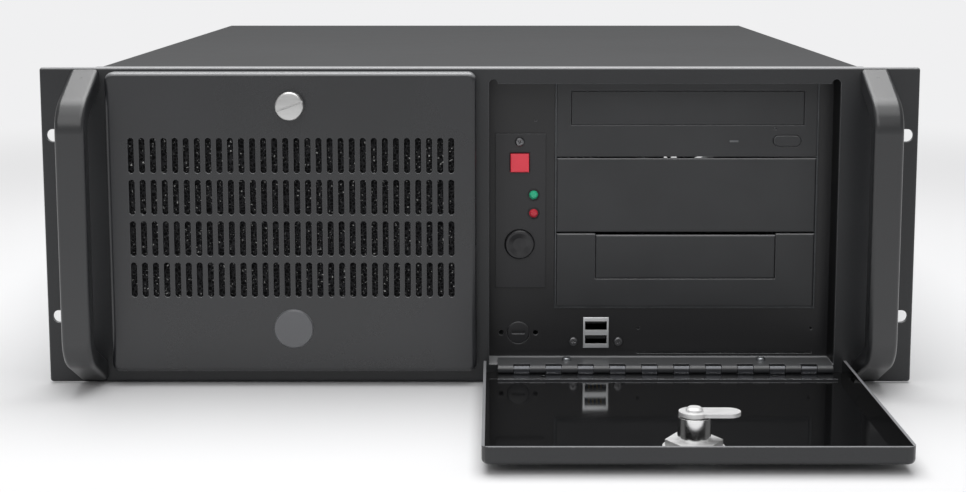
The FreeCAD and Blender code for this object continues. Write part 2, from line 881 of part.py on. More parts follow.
def make_fastener():
    face = "-door_proud - contact_gap"
    head = turned(
        [
            ("0", f"{face} - fastener_height"),
            ("fastener_head - fastener_chamfer", f"{face} - fastener_height"),
            ("fastener_head", f"{face} - fastener_height + fastener_chamfer"),
            ("fastener_head", face),
            ("fastener_stud", face),
            ("fastener_stud", "fastener_reach"),
            ("0", "fastener_reach"),
        ]
    )
    slot = block(
        ("-fastener_head", "fastener_head"),
        (f"{face} - fastener_height - 1", f"{face} - fastener_height + fastener_slot"),
        ("-fastener_slot/2", "fastener_slot/2"),
    )
    tilt = Rotation(Vector(0, 1, 0), -number("fastener_tilt"))
    node("filter_fastener", cut(head, slot), x="filter_middle", z="fastener_rise", turn=tilt)
    badge = turned(
        [
            ("0", "-door_proud - badge_thick"),
            ("badge_radius - badge_thick", "-door_proud - badge_thick"),
            ("badge_radius", "-door_proud"),
            ("0", "-door_proud"),
        ]
    )
    node("badge_disc", badge, x="filter_middle", z="badge_rise")


def make_drive_door():
    left, right = "drive_side", "drive_right"
    body = make_pan("drive_pan", left, right, "drive_bottom", "drive_top", "drive_bottom - 1")
    toe = toe_tool(left, right, "drive_bottom", "drive_axis")
    hole = ("lock_across", "-door_proud - 1", "lock_rise")
    lock = rod("y", hole, "barrel_radius", "door_sheet + 2")
    door_node("drive_door", cut(body, toe, lock))


def make_leaf(name, first, count, leaf, neck):
    """A piano hinge leaf: knuckles on the hinge line, every second one, and a flat leaf."""
    body = new_body(name)
    start = f"hinge_left + {first}*knuckle_step + knuckle_gap/2"
    ring = circle(sketch_on(body, "YZ_Plane", start), "-hinge_depth", "drive_axis", "knuckle_radius")
    knuckle = pad(body, ring, "knuckle_step - knuckle_gap")
    link = pad(body, rectangle(sketch_on(body, "YZ_Plane", start), *neck), "knuckle_step - knuckle_gap")
    row_of(body, [knuckle, link], "X_Axis", f"2*knuckle_step*({count} - 1)", count)
    plate = rectangle(sketch_on(body, "YZ_Plane", "hinge_left"), *leaf)
    pad(body, plate, "hinge_length")
    bore = sketch_on(body, "YZ_Plane", "hinge_left")
    circle(bore, "-hinge_depth", "drive_axis", "hinge_pin + pin_gap")
    pocket(body, bore, "hinge_length", back=True)
    return body


def make_door_hinge():
    clear = "knuckle_radius + contact_gap"
    flat = ("sill_top", "leaf_top")
    fixed = make_leaf(
        "fixed_leaf", 0, "(knuckles + 1)/2",
        ((f"-hinge_depth + {clear}", "fixed_leaf_reach"), flat),
        (("-hinge_depth", f"-hinge_depth + {clear} + 1"), flat),
    )
    holes = []
    screws = []
    screw = pan_screw("screw_length")
    drive_down = Rotation(Vector(1, 0, 0), -90)
    for across in ("hinge_left + leaf_screw_left", "hinge_left + leaf_screw_right"):
        along = "fixed_leaf_reach/2"
        holes.append(rod("z", (across, along, "sill_top - 1"), "screw_shank + pin_gap", "leaf_thick + 2"))
        screws.append(at(screw, across, along, "leaf_top", drive_down))
    node("hinge_fixed_leaf", cut(fixed, *holes))
    inner = ("-door_inner", "-door_inner + leaf_thick")
    moving = make_leaf(
        "moving_leaf", 1, "(knuckles - 1)/2",
        (inner, (f"drive_axis + {clear}", "drive_axis + moving_leaf_reach")),
        (inner, ("drive_axis", f"drive_axis + {clear} + 1")),
    )
    holes = []
    for across in ("hinge_left + leaf_hole_left", "hinge_left + leaf_hole_right"):
        hole = (across, "-door_inner - 1", "drive_axis + leaf_hole_rise")
        holes.append(rod("y", hole, "screw_shank", "leaf_thick + 2"))
    door_node("hinge_moving_leaf", cut(moving, *holes))
    node("hinge_pin", rod("x", ("hinge_left", "-hinge_depth", "drive_axis"), "hinge_pin", "hinge_length"))
    front = [at(screw, "plate_middle", "plate_front", "plate_screw_rise")]
    for side in ("-", "+"):
        across = f"usb_across {side} usb_screw_across"
        front.append(at(screw, across, "recess_depth", "usb_rise - usb_screw_drop"))
    node("front_screws", *screws, *front)


def make_lock():
    seat = "-door_inner + washer_thick"
    barrel = turned(
        [
            ("plug_radius + pin_gap", "-door_proud - barrel_flange_thick"),
            ("barrel_flange - 1", "-door_proud - barrel_flange_thick"),
            ("barrel_flange", "-door_proud"),
            ("barrel_radius", "-door_proud"),
            ("barrel_radius", "cam_front - 2*contact_gap"),
            ("plug_radius + pin_gap", "cam_front - 2*contact_gap"),
        ]
    )
    place = {"x": "lock_across", "z": "lock_rise"}
    door_node("lock_barrel", at(barrel, **place))
    nut = new_body("nut")
    polygon(sketch_on(nut, "XZ_Plane", "door_inner - washer_thick"), hexagon("nut_flats"))
    pad(nut, nut.Group[-1], "nut_thick", back=True)
    ring = rod("y", ("0", "-door_inner", "0"), "washer_radius", "washer_thick")
    bore = rod("y", ("0", "-door_inner - 1", "0"), "barrel_radius", f"{seat} + door_inner + nut_thick + 2")
    door_node("lock_nut", at(cut(fuse(nut, ring), bore), **place))
    plug = turned(
        [
            ("0", "-door_proud - barrel_flange_thick"),
            ("plug_radius", "-door_proud - barrel_flange_thick"),
            ("plug_radius", "cam_front"),
            ("0", "cam_front"),
        ]
    )
    key = block(
        ("-plug_radius*0.6", "plug_radius*0.6"),
        ("-door_proud - barrel_flange_thick - 1", "-door_proud + 2"),
        ("-contact_gap*2", "contact_gap*2"),
    )
    thread = rod("y", ("0", "cam_front - screw_length", "0"), "cam_screw_shank", "screw_length + 1")
    door_node("lock_plug", at(cut(plug, key, thread), **place))
    cam = fuse(
        rod("y", ("0", "cam_front", "0"), "plug_radius + 2", "cam_thick"),
        block(("0", "cam_length - cam_width/2"), ("cam_front", "cam_back"), ("-cam_width/2", "cam_width/2")),
        rod("y", ("cam_length - cam_width/2", "cam_front", "0"), "cam_width/2", "cam_thick"),
    )
    hole = rod("y", ("0", "cam_front - 1", "0"), "cam_screw_shank", "cam_thick + 2")
    door_node("lock_cam", at(cut(cam, hole), **place))
    screw = turned(
        [
            ("0", "cam_front - screw_length"),
            ("cam_screw_shank", "cam_front - screw_length"),
            ("cam_screw_shank", "cam_back"),
            ("cam_screw_head", "cam_back"),
            ("cam_screw_head", "cam_back + cam_screw_height*0.5"),
            ("cam_screw_head*0.7", "cam_back + cam_screw_height"),
            ("0", "cam_back + cam_screw_height"),
        ]
    )
    door_node("lock_cam_screw", at(screw, **place))


def make_bay_panel():
    outer = ("opening_left - sheet", "opening_right + sheet")
    back = block(outer, ("recess_depth", "recess_depth + sheet"), ("sheet", "recess_top + sheet"))
    depth = ("panel_thick", "recess_depth")
    walls = [block(side, depth, ("sill_top - panel_thick", "recess_top + sheet")) for side in (
        ("opening_left - sheet", "opening_left"), ("opening_right", "opening_right + sheet"))]
    top = block(outer, depth, ("recess_top", "recess_top + sheet"))
    through = ("recess_depth - 1", "recess_depth + sheet + 1")
    start, deep = "recess_depth - 1", "sheet + 2"
    tools = [
        block(("cage_left - slide_gap", "cage_right + slide_gap"), through,
              ("bay_bottom - cage_sheet - slide_gap", "bay_top + cage_sheet + slide_gap")),
        block(("plate_left + window_margin", "plate_left + plate_width - window_margin"), through,
              ("power_rise - power_radius - window_room", "reset_rise + reset_width/2 + window_room")),
        block(("usb_across - usb_width/2 - slide_gap", "usb_across + usb_width/2 + slide_gap"), through,
              ("usb_rise - usb_height/2 - slide_gap", "usb_rise + usb_height/2 + slide_gap")),
        block(("flap_left", "flap_right"), through, ("flap_bottom", "flap_bottom + flap_slit")),
        rod("y", ("port_across", start, "port_rise"), "port_radius", deep),
        rod("y", ("pip_across", start, "pip_rise"), "relief_hole", "1 + sheet/2"),
        rod("y", ("plate_middle", start, "plate_screw_rise"), "screw_shank + pin_gap", deep),
    ]
    for x in ("flap_left + relief_hole", "flap_right - relief_hole"):
        tools.append(rod("y", (x, start, "flap_relief_rise"), "relief_hole", deep))
    for side in ("-", "+"):
        hole = (f"port_across {side} port_hole_offset", start, "port_rise")
        tools.append(rod("y", hole, "port_hole", deep))
        screw = (f"usb_across {side} usb_screw_across", start, "usb_rise - usb_screw_drop")
        tools.append(rod("y", screw, "screw_shank + pin_gap", deep))
    node("bay_panel", cut(back, *tools))
    node("bay_surround", fuse(top, *walls))


def make_controls():
    plate = block(("plate_left", "plate_left + plate_width"), ("plate_front", "recess_depth"),
                  ("plate_bottom", "plate_bottom + plate_height"))
    start, deep = "plate_front - 1", "plate_thick + 2"
    through = ("plate_front - 1", "recess_depth + 1")
    half = "reset_width/2 + button_gap"
    holes = [
        block((f"plate_middle - ({half})", f"plate_middle + {half}"), through,
              (f"reset_rise - ({half})", f"reset_rise + {half}")),
        rod("y", ("plate_middle", start, "power_rise"), "power_radius + button_gap", deep),
        rod("y", ("plate_middle", start, "plate_screw_rise"), "screw_shank + pin_gap", deep),
    ]
    for rise in ("power_lamp_rise", "disk_lamp_rise"):
        holes.append(rod("y", ("lamp_across", start, rise), "lamp_radius", deep))
    node("control_plate", cut(plate, *holes))

    side = "reset_width/2"
    button = block((f"plate_middle - {side}", f"plate_middle + {side}"),
                   ("plate_front - reset_proud", "recess_depth + button_depth"),
                   (f"reset_rise - {side}", f"reset_rise + {side}"))
    front = "plate_front - reset_proud"
    soft = rounded(button, "button_gap*2", lambda e: is_near(e.BoundBox.YMax, front))
    node("reset_button", soft)
    cap = turned(
        [
            ("0", "plate_front - power_proud + power_dish"),
            ("power_radius*0.45", "plate_front - power_proud + power_dish*0.75"),
            ("power_radius*0.78", "plate_front - power_proud"),
            ("power_radius*0.92", "plate_front - power_proud"),
            ("power_radius", "plate_front - power_proud + power_dish*0.6"),
            ("power_radius", "recess_depth + button_depth"),
            ("0", "recess_depth + button_depth"),
        ]
    )
    node("power_button", cap, x="plate_middle", z="power_rise")

    wall = f"{half} + switch_wall"
    behind = ("recess_depth", "recess_depth + switch_depth")
    room = ("recess_depth - 1", "recess_depth + button_depth + 3")
    square = cut(
        block((f"plate_middle - ({wall})", f"plate_middle + {wall}"), behind,
              (f"reset_rise - ({wall})", f"reset_rise + {wall}")),
        block((f"plate_middle - ({half})", f"plate_middle + {half}"), room,
              (f"reset_rise - ({half})", f"reset_rise + {half}")),
    )
    ring = "power_radius + button_gap"
    drum = cut(
        rod("y", ("plate_middle", "recess_depth", "power_rise"), f"{ring} + switch_wall", "switch_depth"),
        rod("y", ("plate_middle", "recess_depth - 1", "power_rise"), ring, "button_depth + 4"),
    )
    node("front_switches", square, drum)
    for label, rise in (("power_lamp", "power_lamp_rise"), ("disk_lamp", "disk_lamp_rise")):
        lamp = turned(
            [
                ("0", "plate_front - lamp_proud"),
                ("lamp_radius*0.6", "plate_front - lamp_proud*0.85"),
                ("lamp_radius", "plate_front - lamp_proud*0.2"),
                ("lamp_radius", "recess_depth"),
                ("lamp_radius + 0.5", "recess_depth"),
                ("lamp_radius + 0.5", "recess_depth + 1.5"),
                ("0", "recess_depth + 1.5"),
            ]
        )
        node(label, lamp, x="lamp_across", z=rise)


def make_ports():
    disc = rod("y", ("port_across", "recess_depth", "port_rise"), "port_radius", "sheet")
    slot = obround(
        ("port_across - port_slot_length/2", "port_across + port_slot_length/2"),
        ("recess_depth - 1", "recess_depth + sheet*0.6"),
        ("port_rise - port_slot_width/2", "port_rise + port_slot_width/2"),
    )
    node("port_blank", cut(disc, slot))
    front, rear = "recess_depth - usb_proud", "recess_depth + usb_depth"
    left, right = "usb_across - usb_width/2", "usb_across + usb_width/2"
    shell = block((left, right), (front, rear), ("usb_rise - usb_height/2", "usb_rise + usb_height/2"))
    rooms, tongues = [], []
    for level in ("-", "+"):
        rise = f"usb_rise {level} usb_height/4"
        room = "usb_height/4 - usb_shell*1.5"
        inside = (f"{left} + usb_shell*1.5", f"{right} - usb_shell*1.5")
        depth = (f"{front} - 1", f"{rear} - usb_shell")
        rooms.append(block(inside, depth, (f"{rise} - ({room})", f"{rise} + {room}")))
        tongue = (f"{rise} + {room} - usb_tongue - usb_shell", f"{rise} + {room} - usb_shell")
        tongues.append(block((f"{left} + usb_shell*2.5", f"{right} - usb_shell*2.5"),
                             (f"{front} + usb_shell", f"{rear} - usb_shell"), tongue))
    node("usb_shell", cut(shell, *rooms))
    node("usb_tongues", *tongues)


def make_drives():
    across = ("bay_left + slide_gap", "bay_right - slide_gap")
    depth = ("bezel_front", "bezel_back")

    def bay(index):
        return f"bay_bottom + {index}*bay_pitch", f"bay_bottom + {index}*bay_pitch + bay_height"

    hole = ("tray_left - tray_gap", "tray_right + tray_gap")
    rise = ("tray_bottom - tray_gap", "tray_top + tray_gap")
    through = ("bezel_front - 1", "bezel_back + 1")
    bezel = block(across, depth, bay(2))
    eject = (("bay_left + eject_left", "bay_left + eject_left + eject_length"),
             ("optical_bottom + eject_lift", "optical_bottom + eject_lift + eject_height"))
    window = obround(
        (f"{eject[0][0]} - button_gap", f"{eject[0][1]} + button_gap"), through,
        (f"{eject[1][0]} - button_gap", f"{eject[1][1]} + button_gap"),
    )
    start = ("bay_left + eject_left + 1", "bezel_front - 1", "tray_bottom - pinhole_drop")
    pinhole = rod("y", start, "relief_hole", "bezel_thick + 2")
    node("optical_bezel", cut(bezel, block(hole, through, rise), window, pinhole))
    rear = "bezel_back + optical_length"
    case = block(across, ("bezel_back", rear), bay(2))
    mouth = block(hole, ("bezel_back - 1", "bezel_back + optical_front + 1"), rise)
    low, high = bay(2)
    room = block((f"{across[0]} + cage_sheet", f"{across[1]} - cage_sheet"),
                 ("bezel_back + optical_front", f"{rear} - cage_sheet"),
                 (f"{low} + cage_sheet", f"{high} - cage_sheet"))
    press = block((f"{eject[0][0]} - 1", f"{eject[0][1]} + 1"), ("bezel_back - 1", "bezel_back + eject_room"),
                  (f"{eject[1][0]} - 1", f"{eject[1][1]} + 1"))
    node("optical_case", cut(case, fuse(mouth, room), press))
    wide = ("tray_left", "tray_right")
    face = block(wide, ("bezel_front - slide_gap", "bezel_back - 1"), ("tray_bottom", "tray_top"))
    middle = "(tray_left + tray_right)/2"
    low = ("tray_bottom", "tray_bottom + tray_thick")
    plate = block(wide, ("bezel_back - 1.5", "bezel_back + tray_length"), low)
    dish = rod("y", ("0", "0", "0"), "disc_radius", "disc_sink + 1")
    dish.Placement = Placement(Vector(), Rotation())
    put(dish, middle, "bezel_back + disc_radius + disc_setback", "tray_bottom + tray_thick - disc_sink")
    node("optical_tray", cut(fuse(face, plate), dish))
    node("eject_button", obround(eject[0], ("bezel_front - eject_proud", "bezel_back + 1"), eject[1]))

    node("blank_bay_cover", make_cover(across, depth, bay(1)))
    small = (("adapter_left - tray_gap", "adapter_right + tray_gap"),
             ("adapter_bottom - tray_gap", "bay_bottom + bay_height + 1"))
    node("bay_adapter_bezel", cut(make_cover(across, depth, bay(0)), block(small[0], through, small[1])))
    front = ("bezel_front - slide_gap", "bezel_back")
    blank = make_cover(("adapter_left", "adapter_right"), front, ("adapter_bottom", "adapter_top"))
    node("small_bay_blank", blank)


def make_cover(across, depth, up):
    """A moulded blank: a face with a softened front and two spring tabs behind it."""
    face = block(across, depth, up)
    doc.recompute()
    soft = rounded(face, "button_gap*2", lambda e: is_near(e.BoundBox.YMax, depth[0]))
    tabs = []
    middle = f"(({up[0]}) + ({up[1]}))/2"
    for low, high in ((across[0], f"{across[0]} + cage_sheet*2"), (f"{across[1]} - cage_sheet*2", across[1])):
        along = (f"{depth[1]} - contact_gap", f"{depth[1]} + tab_depth")
        tabs.append(block((low, high), along, (f"{middle} - tab_height/2", f"{middle} + tab_height/2")))
    return fuse(soft, *tabs)


def make_cage():
    front, rear = "recess_depth - cage_sheet", "cage_back"
    top = "bay_top + cage_sheet"
    walls = []
    for low, high, foot in (
        ("cage_left", "bay_left", ("cage_left - cage_foot", "cage_left")),
        ("bay_right", "cage_right", ("cage_right", "cage_right + cage_foot")),
    ):
        walls.append(block((low, high), (front, rear), ("bay_bottom - cage_sheet", top)))
        along = ("recess_depth + cage_setback", rear)
        walls.append(block((low, high), along, ("sheet", "bay_bottom")))
        sole = (f"{foot[0]} - cage_sheet/2", f"{foot[1]} + cage_sheet/2")
        walls.append(block(sole, along, ("sheet", "sheet + cage_sheet")))
    span = ("cage_left", "cage_right")
    floor = block(span, (front, rear), ("bay_bottom - cage_sheet", "bay_bottom"))
    roof = block(span, (front, rear), ("bay_top", top))
    slots = []
    for index in range(3):
        rise = f"bay_bottom + {index}*bay_pitch + bay_height/2"
        for start in ("recess_depth + cage_slot_first", "cage_back - cage_slot_first - cage_slot_length"):
            slots.append(block(("cage_left - 1", "cage_right + 1"), (start, f"{start} + cage_slot_length"),
                               (f"{rise} - cage_slot_height/2", f"{rise} + cage_slot_height/2")))
    node("drive_cage", cut(fuse(floor, roof, *walls), *slots))
    middle = "(bay_left + bay_right)/2"
    top = "bay_bottom - cage_sheet"
    case = block((f"{middle} - disk_width/2", f"{middle} + disk_width/2"),
                 ("recess_depth + disk_setback", "recess_depth + disk_setback + disk_length"),
                 (f"{top} - disk_height", top))
    node("hard_disk", rounded(case, "button_gap*4", lambda e: along_axis(e, "z")))


def make_tray():
    floor = block(("-half_wall", "half_wall"), ("panel_thick", "case_rear"), ("0", "sheet"))
    sides = []
    for low, high, lip in (
        ("-half_wall", "-half_wall + sheet", ("-half_wall", "-half_wall + wall_flange")),
        ("half_wall - sheet", "half_wall", ("half_wall - wall_flange", "half_wall")),
    ):
        sides.append(block((low, high), ("panel_thick", "case_rear"), ("0", "cover_under")))
        along = ("lip_depth + flange_setback", "case_rear - flange_setback")
        sides.append(block(lip, along, ("cover_under - sheet", "cover_under")))
    node("chassis_tray", fuse(floor, *sides))


def make_cover_plate():
    across = ("-half_body", "half_body")
    along = ("lip_depth + slide_gap", "body_depth + sheet")
    top = block(across, along, ("cover_under", "body_height"))
    low = "cover_under - cover_flange"
    sides = [block(side, along, (low, "body_height")) for side in (
        ("-half_body", "-half_body + sheet"), ("half_body - sheet", "half_body"))]
    rear = block(across, ("body_depth", "body_depth + sheet"), (low, "body_height"))
    rise = "cover_under - cover_flange/2"
    screws, holes = [], []
    for step in ("-", "0*", "+"):
        x = f"{step}cover_screw_span"
        holes.append(rod("y", (x, "body_depth - 1", rise), "screw_shank", "sheet + 2"))
        knob = rod("y", (x, "body_depth + sheet", rise), "screw_head*2", "screw_height*3")
        shank = rod("y", (x, "body_depth - screw_length", rise), "screw_shank", "screw_length + sheet + 1")
        screws.append(fuse(knob, shank))
    node("top_cover", cut(fuse(top, rear, *sides), *holes))
    node("cover_screws", *screws)


def make_rear_panel():
    across = ("-half_wall + sheet", "half_wall - sheet")
    plate = block(across, ("case_rear", "body_depth"), ("sheet", "cover_under"))
    through = ("case_rear - 1", "body_depth + 1")
    start, deep = "case_rear - 1", "sheet + 2"
    tools = [
        block(("supply_left + supply_frame", "supply_right - supply_frame"), through,
              ("sheet + supply_frame", "supply_top - supply_frame")),
        block(("ports_left", "ports_left + port_block_width"), through,
              ("board_top", "board_top + port_block_height")),
    ]
    for index in range(SIZES["slot_count"]):
        x = f"card_first + {index}*card_pitch"
        tools.append(block((f"{x} - card_width/2 + card_frame", f"{x} + card_width/2 - card_frame"), through,
                           ("card_foot + card_frame", "card_foot + card_height - card_head")))
    for step in ("-", "0*", "+"):
        screw = (f"{step}cover_screw_span", start, "cover_under - cover_flange/2")
        tools.append(rod("y", screw, "screw_shank + contact_gap", deep))
    for index in range(SIZES["vent_count"]):
        x = f"ports_left + vent_inset + {index}*vent_pitch"
        tools.append(block((x, f"{x} + vent_width"), through, ("vent_bottom", "vent_bottom + vent_height")))
    node("rear_panel", cut(plate, *tools))


def fan_rotor(radius, length):
    """A hub with slanting blades, turning about Y, with its front at Y = 0."""
    body = new_body("rotor")
    hub = polygon(
        sketch_on(body, "XY_Plane"),
        [
            ("0", "0"),
            ("fan_hub - hub_chamfer", "0"),
            ("fan_hub", "hub_chamfer"),
            ("fan_hub", length),
            ("spindle", length),
            ("spindle", f"{length} + fan_back - contact_gap"),
            ("0", f"{length} + fan_back - contact_gap"),
        ],
    )
    turn = body.newObject("PartDesign::Revolution", "hub")
    turn.Profile = hub
    turn.ReferenceAxis = (hub, ["V_Axis"])
    turn.Angle = 360
    doc.recompute()
    middle, rise, chord = f"({length})/2", "blade_rise/2", "blade_chord/2"
    section = polygon(
        sketch_on(body, "YZ_Plane", "blade_start"),
        [
            (f"{middle} - {rise}", f"-{chord}"),
            (f"{middle} - {rise} + blade_thick", f"-{chord}"),
            (f"{middle} + {rise}", f"{chord} - blade_thick"),
            (f"{middle} + {rise}", chord),
            (f"{middle} + {rise} - blade_thick", chord),
        ],
    )
    blade = pad(body, section, f"sqrt({radius}*{radius} - blade_chord*blade_chord/4) - blade_start")
    doc.recompute()
    ring = body.newObject("PartDesign::PolarPattern", "blades")
    ring.Originals = [blade]
    axes = [item for item in body.Origin.OriginFeatures if item.Role == "Y_Axis"]
    ring.Axis = (axes[0], [""])
    ring.Angle = 360
    ring.setExpression("Occurrences", cell("fan_blades"))
    body.Tip = ring
    return body


def make_front_fans():
    frames = []
    for side, label in (("-", "front_fan_rotor_left"), ("+", "front_fan_rotor_right")):
        x = f"-fan_across {side} fan_pitch/2"
        half = "fan_size/2"
        case = block((f"{x} - {half}", f"{x} + {half}"), ("fan_front", "fan_rear"),
                     (f"slot_middle - {half}", f"slot_middle + {half}"))
        duct = rod("y", (x, "fan_front - 1", "slot_middle"), "fan_bore", "fan_depth + 2")
        back = ("fan_rear - fan_back", "fan_rear")
        struts = [
            block((f"{x} - fan_bore - 1", f"{x} + fan_bore + 1"), back,
                  ("slot_middle - fan_strut/2", "slot_middle + fan_strut/2")),
            block((f"{x} - fan_strut/2", f"{x} + fan_strut/2"), back,
                  ("slot_middle - fan_bore - 1", "slot_middle + fan_bore + 1")),
            rod("y", (x, "fan_rear - fan_back", "slot_middle"), "fan_hub", "fan_back"),
        ]
        bearing = rod("y", (x, "fan_rear - fan_back - 1", "slot_middle"), "spindle + pin_gap", "fan_back + 2")
        frames.append(cut(fuse(cut(case, duct), *struts), bearing))
        rotor = fan_rotor("fan_radius", "fan_depth - fan_back - 2*contact_gap - 1")
        node(label, rotor, x=x, y="front_y + fan_front + 1 + contact_gap", z="slot_middle")
    node("front_fan_frames", *frames)


def make_supply():
    case = block(("supply_left", "supply_right"), ("supply_front", "case_rear"), ("sheet", "supply_top"))
    spider = ("case_rear - supply_wall - fan_depth - fan_back", "case_rear - supply_wall - fan_depth")
    tunnel = rod("y", ("supply_middle", f"{spider[0]} - 1", "supply_fan_rise"),
                 "supply_fan_bore", "fan_depth + fan_back + 1")
    hollow = block(("supply_left + supply_wall", "supply_right - supply_wall"),
                   ("supply_front + supply_wall", spider[0]),
                   ("sheet + supply_wall", "supply_top - supply_wall"))
    hub = rod("y", ("supply_middle", spider[0], "supply_fan_rise"), "fan_hub", "fan_back")
    struts = [
        block(("supply_left + 1", "supply_right - 1"), spider,
              ("supply_fan_rise - fan_strut/2", "supply_fan_rise + fan_strut/2")),
        block(("supply_middle - fan_strut/2", "supply_middle + fan_strut/2"), spider,
              ("supply_fan_rise - supply_fan_bore - 1", "supply_fan_rise + supply_fan_bore + 1")),
    ]
    vents = []
    for index in range(SIZES["supply_vents"]):
        z = f"supply_fan_rise + supply_fan_bore - {index}*vent_pitch"
        vents.append(block(("supply_left + vent_inset", "supply_right - vent_inset"),
                           ("supply_front - 1", "supply_front + supply_wall + 1"), (f"{z} - vent_width", z)))
    rings = []
    step = "supply_fan_bore/(2*guard_rings)"
    for index in range(SIZES["guard_rings"]):
        outer = f"supply_fan_bore - 2*{index}*{step}"
        hole = ("supply_middle", "case_rear - supply_wall - 1", "supply_fan_rise")
        inner = rod("y", hole, f"{outer} - {step}", "supply_wall + 2")
        rings.append(cut(rod("y", hole, outer, "supply_wall + 2"), inner))
    bars = []
    for across, tall in (("supply_fan_bore + 1", "guard_bar/2"), ("guard_bar/2", "supply_fan_bore + 1")):
        bars.append(block((f"supply_middle - ({across})", f"supply_middle + {across}"),
                          ("case_rear - supply_wall - 2", "case_rear + 2"),
                          (f"supply_fan_rise - ({tall})", f"supply_fan_rise + {tall}")))
    guard = cut(group(*rings), fuse(*bars))
    inlet_x = "supply_middle - rocker_offset/2"
    rocker_x = "supply_middle + rocker_offset"
    inlet = (f"{inlet_x} - inlet_width/2", f"{inlet_x} + inlet_width/2")
    inlet_up = ("inlet_rise - inlet_height/2", "inlet_rise + inlet_height/2")
    depth = ("case_rear - inlet_depth", "case_rear + 1")
    rocker = (f"{rocker_x} - rocker_width/2", f"{rocker_x} + rocker_width/2")
    rocker_up = ("inlet_rise - rocker_height/2", "inlet_rise + rocker_height/2")
    wells = [block(inlet, depth, inlet_up), block(rocker, depth, rocker_up)]
    shell = cut(case, fuse(tunnel, hollow), guard, *wells, *vents)
    node("psu_case", fuse(shell, hub, *struts))

    socket = block(inlet, ("case_rear - inlet_depth", "case_rear + sheet"), inlet_up)
    well = block((f"{inlet[0]} + inlet_wall", f"{inlet[1]} - inlet_wall"),
                 ("case_rear - inlet_depth + inlet_wall", "case_rear + 2*sheet"),
                 (f"{inlet_up[0]} + inlet_wall", f"{inlet_up[1]} - inlet_wall"))
    pins = []
    low = "-inlet_pin"
    for offset, rise in (("-inlet_pin_span", low), ("0", "inlet_pin"), ("inlet_pin_span", low)):
        x, z = f"{inlet_x} + ({offset})", f"inlet_rise + ({rise})"
        pins.append(block((f"{x} - inlet_pin/2", f"{x} + inlet_pin/2"),
                          ("case_rear - inlet_depth + inlet_wall", "case_rear - inlet_pin_sink"),
                          (f"{z} - inlet_pin", f"{z} + inlet_pin")))
    node("psu_inlet", cut(socket, well), *pins)

    rotor = fan_rotor("supply_fan_radius", "fan_depth - 3*contact_gap - fan_back")
    node("psu_fan_rotor", rotor, x="supply_middle",
         y="front_y + case_rear - supply_wall - contact_gap", z="supply_fan_rise",
         turn=Rotation(Vector(0, 0, 1), 180))
    wide, tall = "rocker_width/2 - contact_gap", "rocker_height/2 - 3*contact_gap"
    key = block((f"-({wide})", wide), ("-rocker_sink", "rocker_sink"), (f"-({tall})", tall))
    bevel = rounded(key, "sheet", lambda e: is_near(e.BoundBox.YMin, "rocker_sink"))
    pin = rod("x", ("-rocker_width/2 + pin_gap", "0", "0"), "rocker_pin", "rocker_width - 2*pin_gap")
    tilt = Rotation(Vector(1, 0, 0), -number("rocker_tilt"))
    pivot = "front_y + case_rear - rocker_sink + sheet"
    node("psu_switch", fuse(bevel, pin), x=rocker_x, y=pivot, z="inlet_rise", turn=tilt)


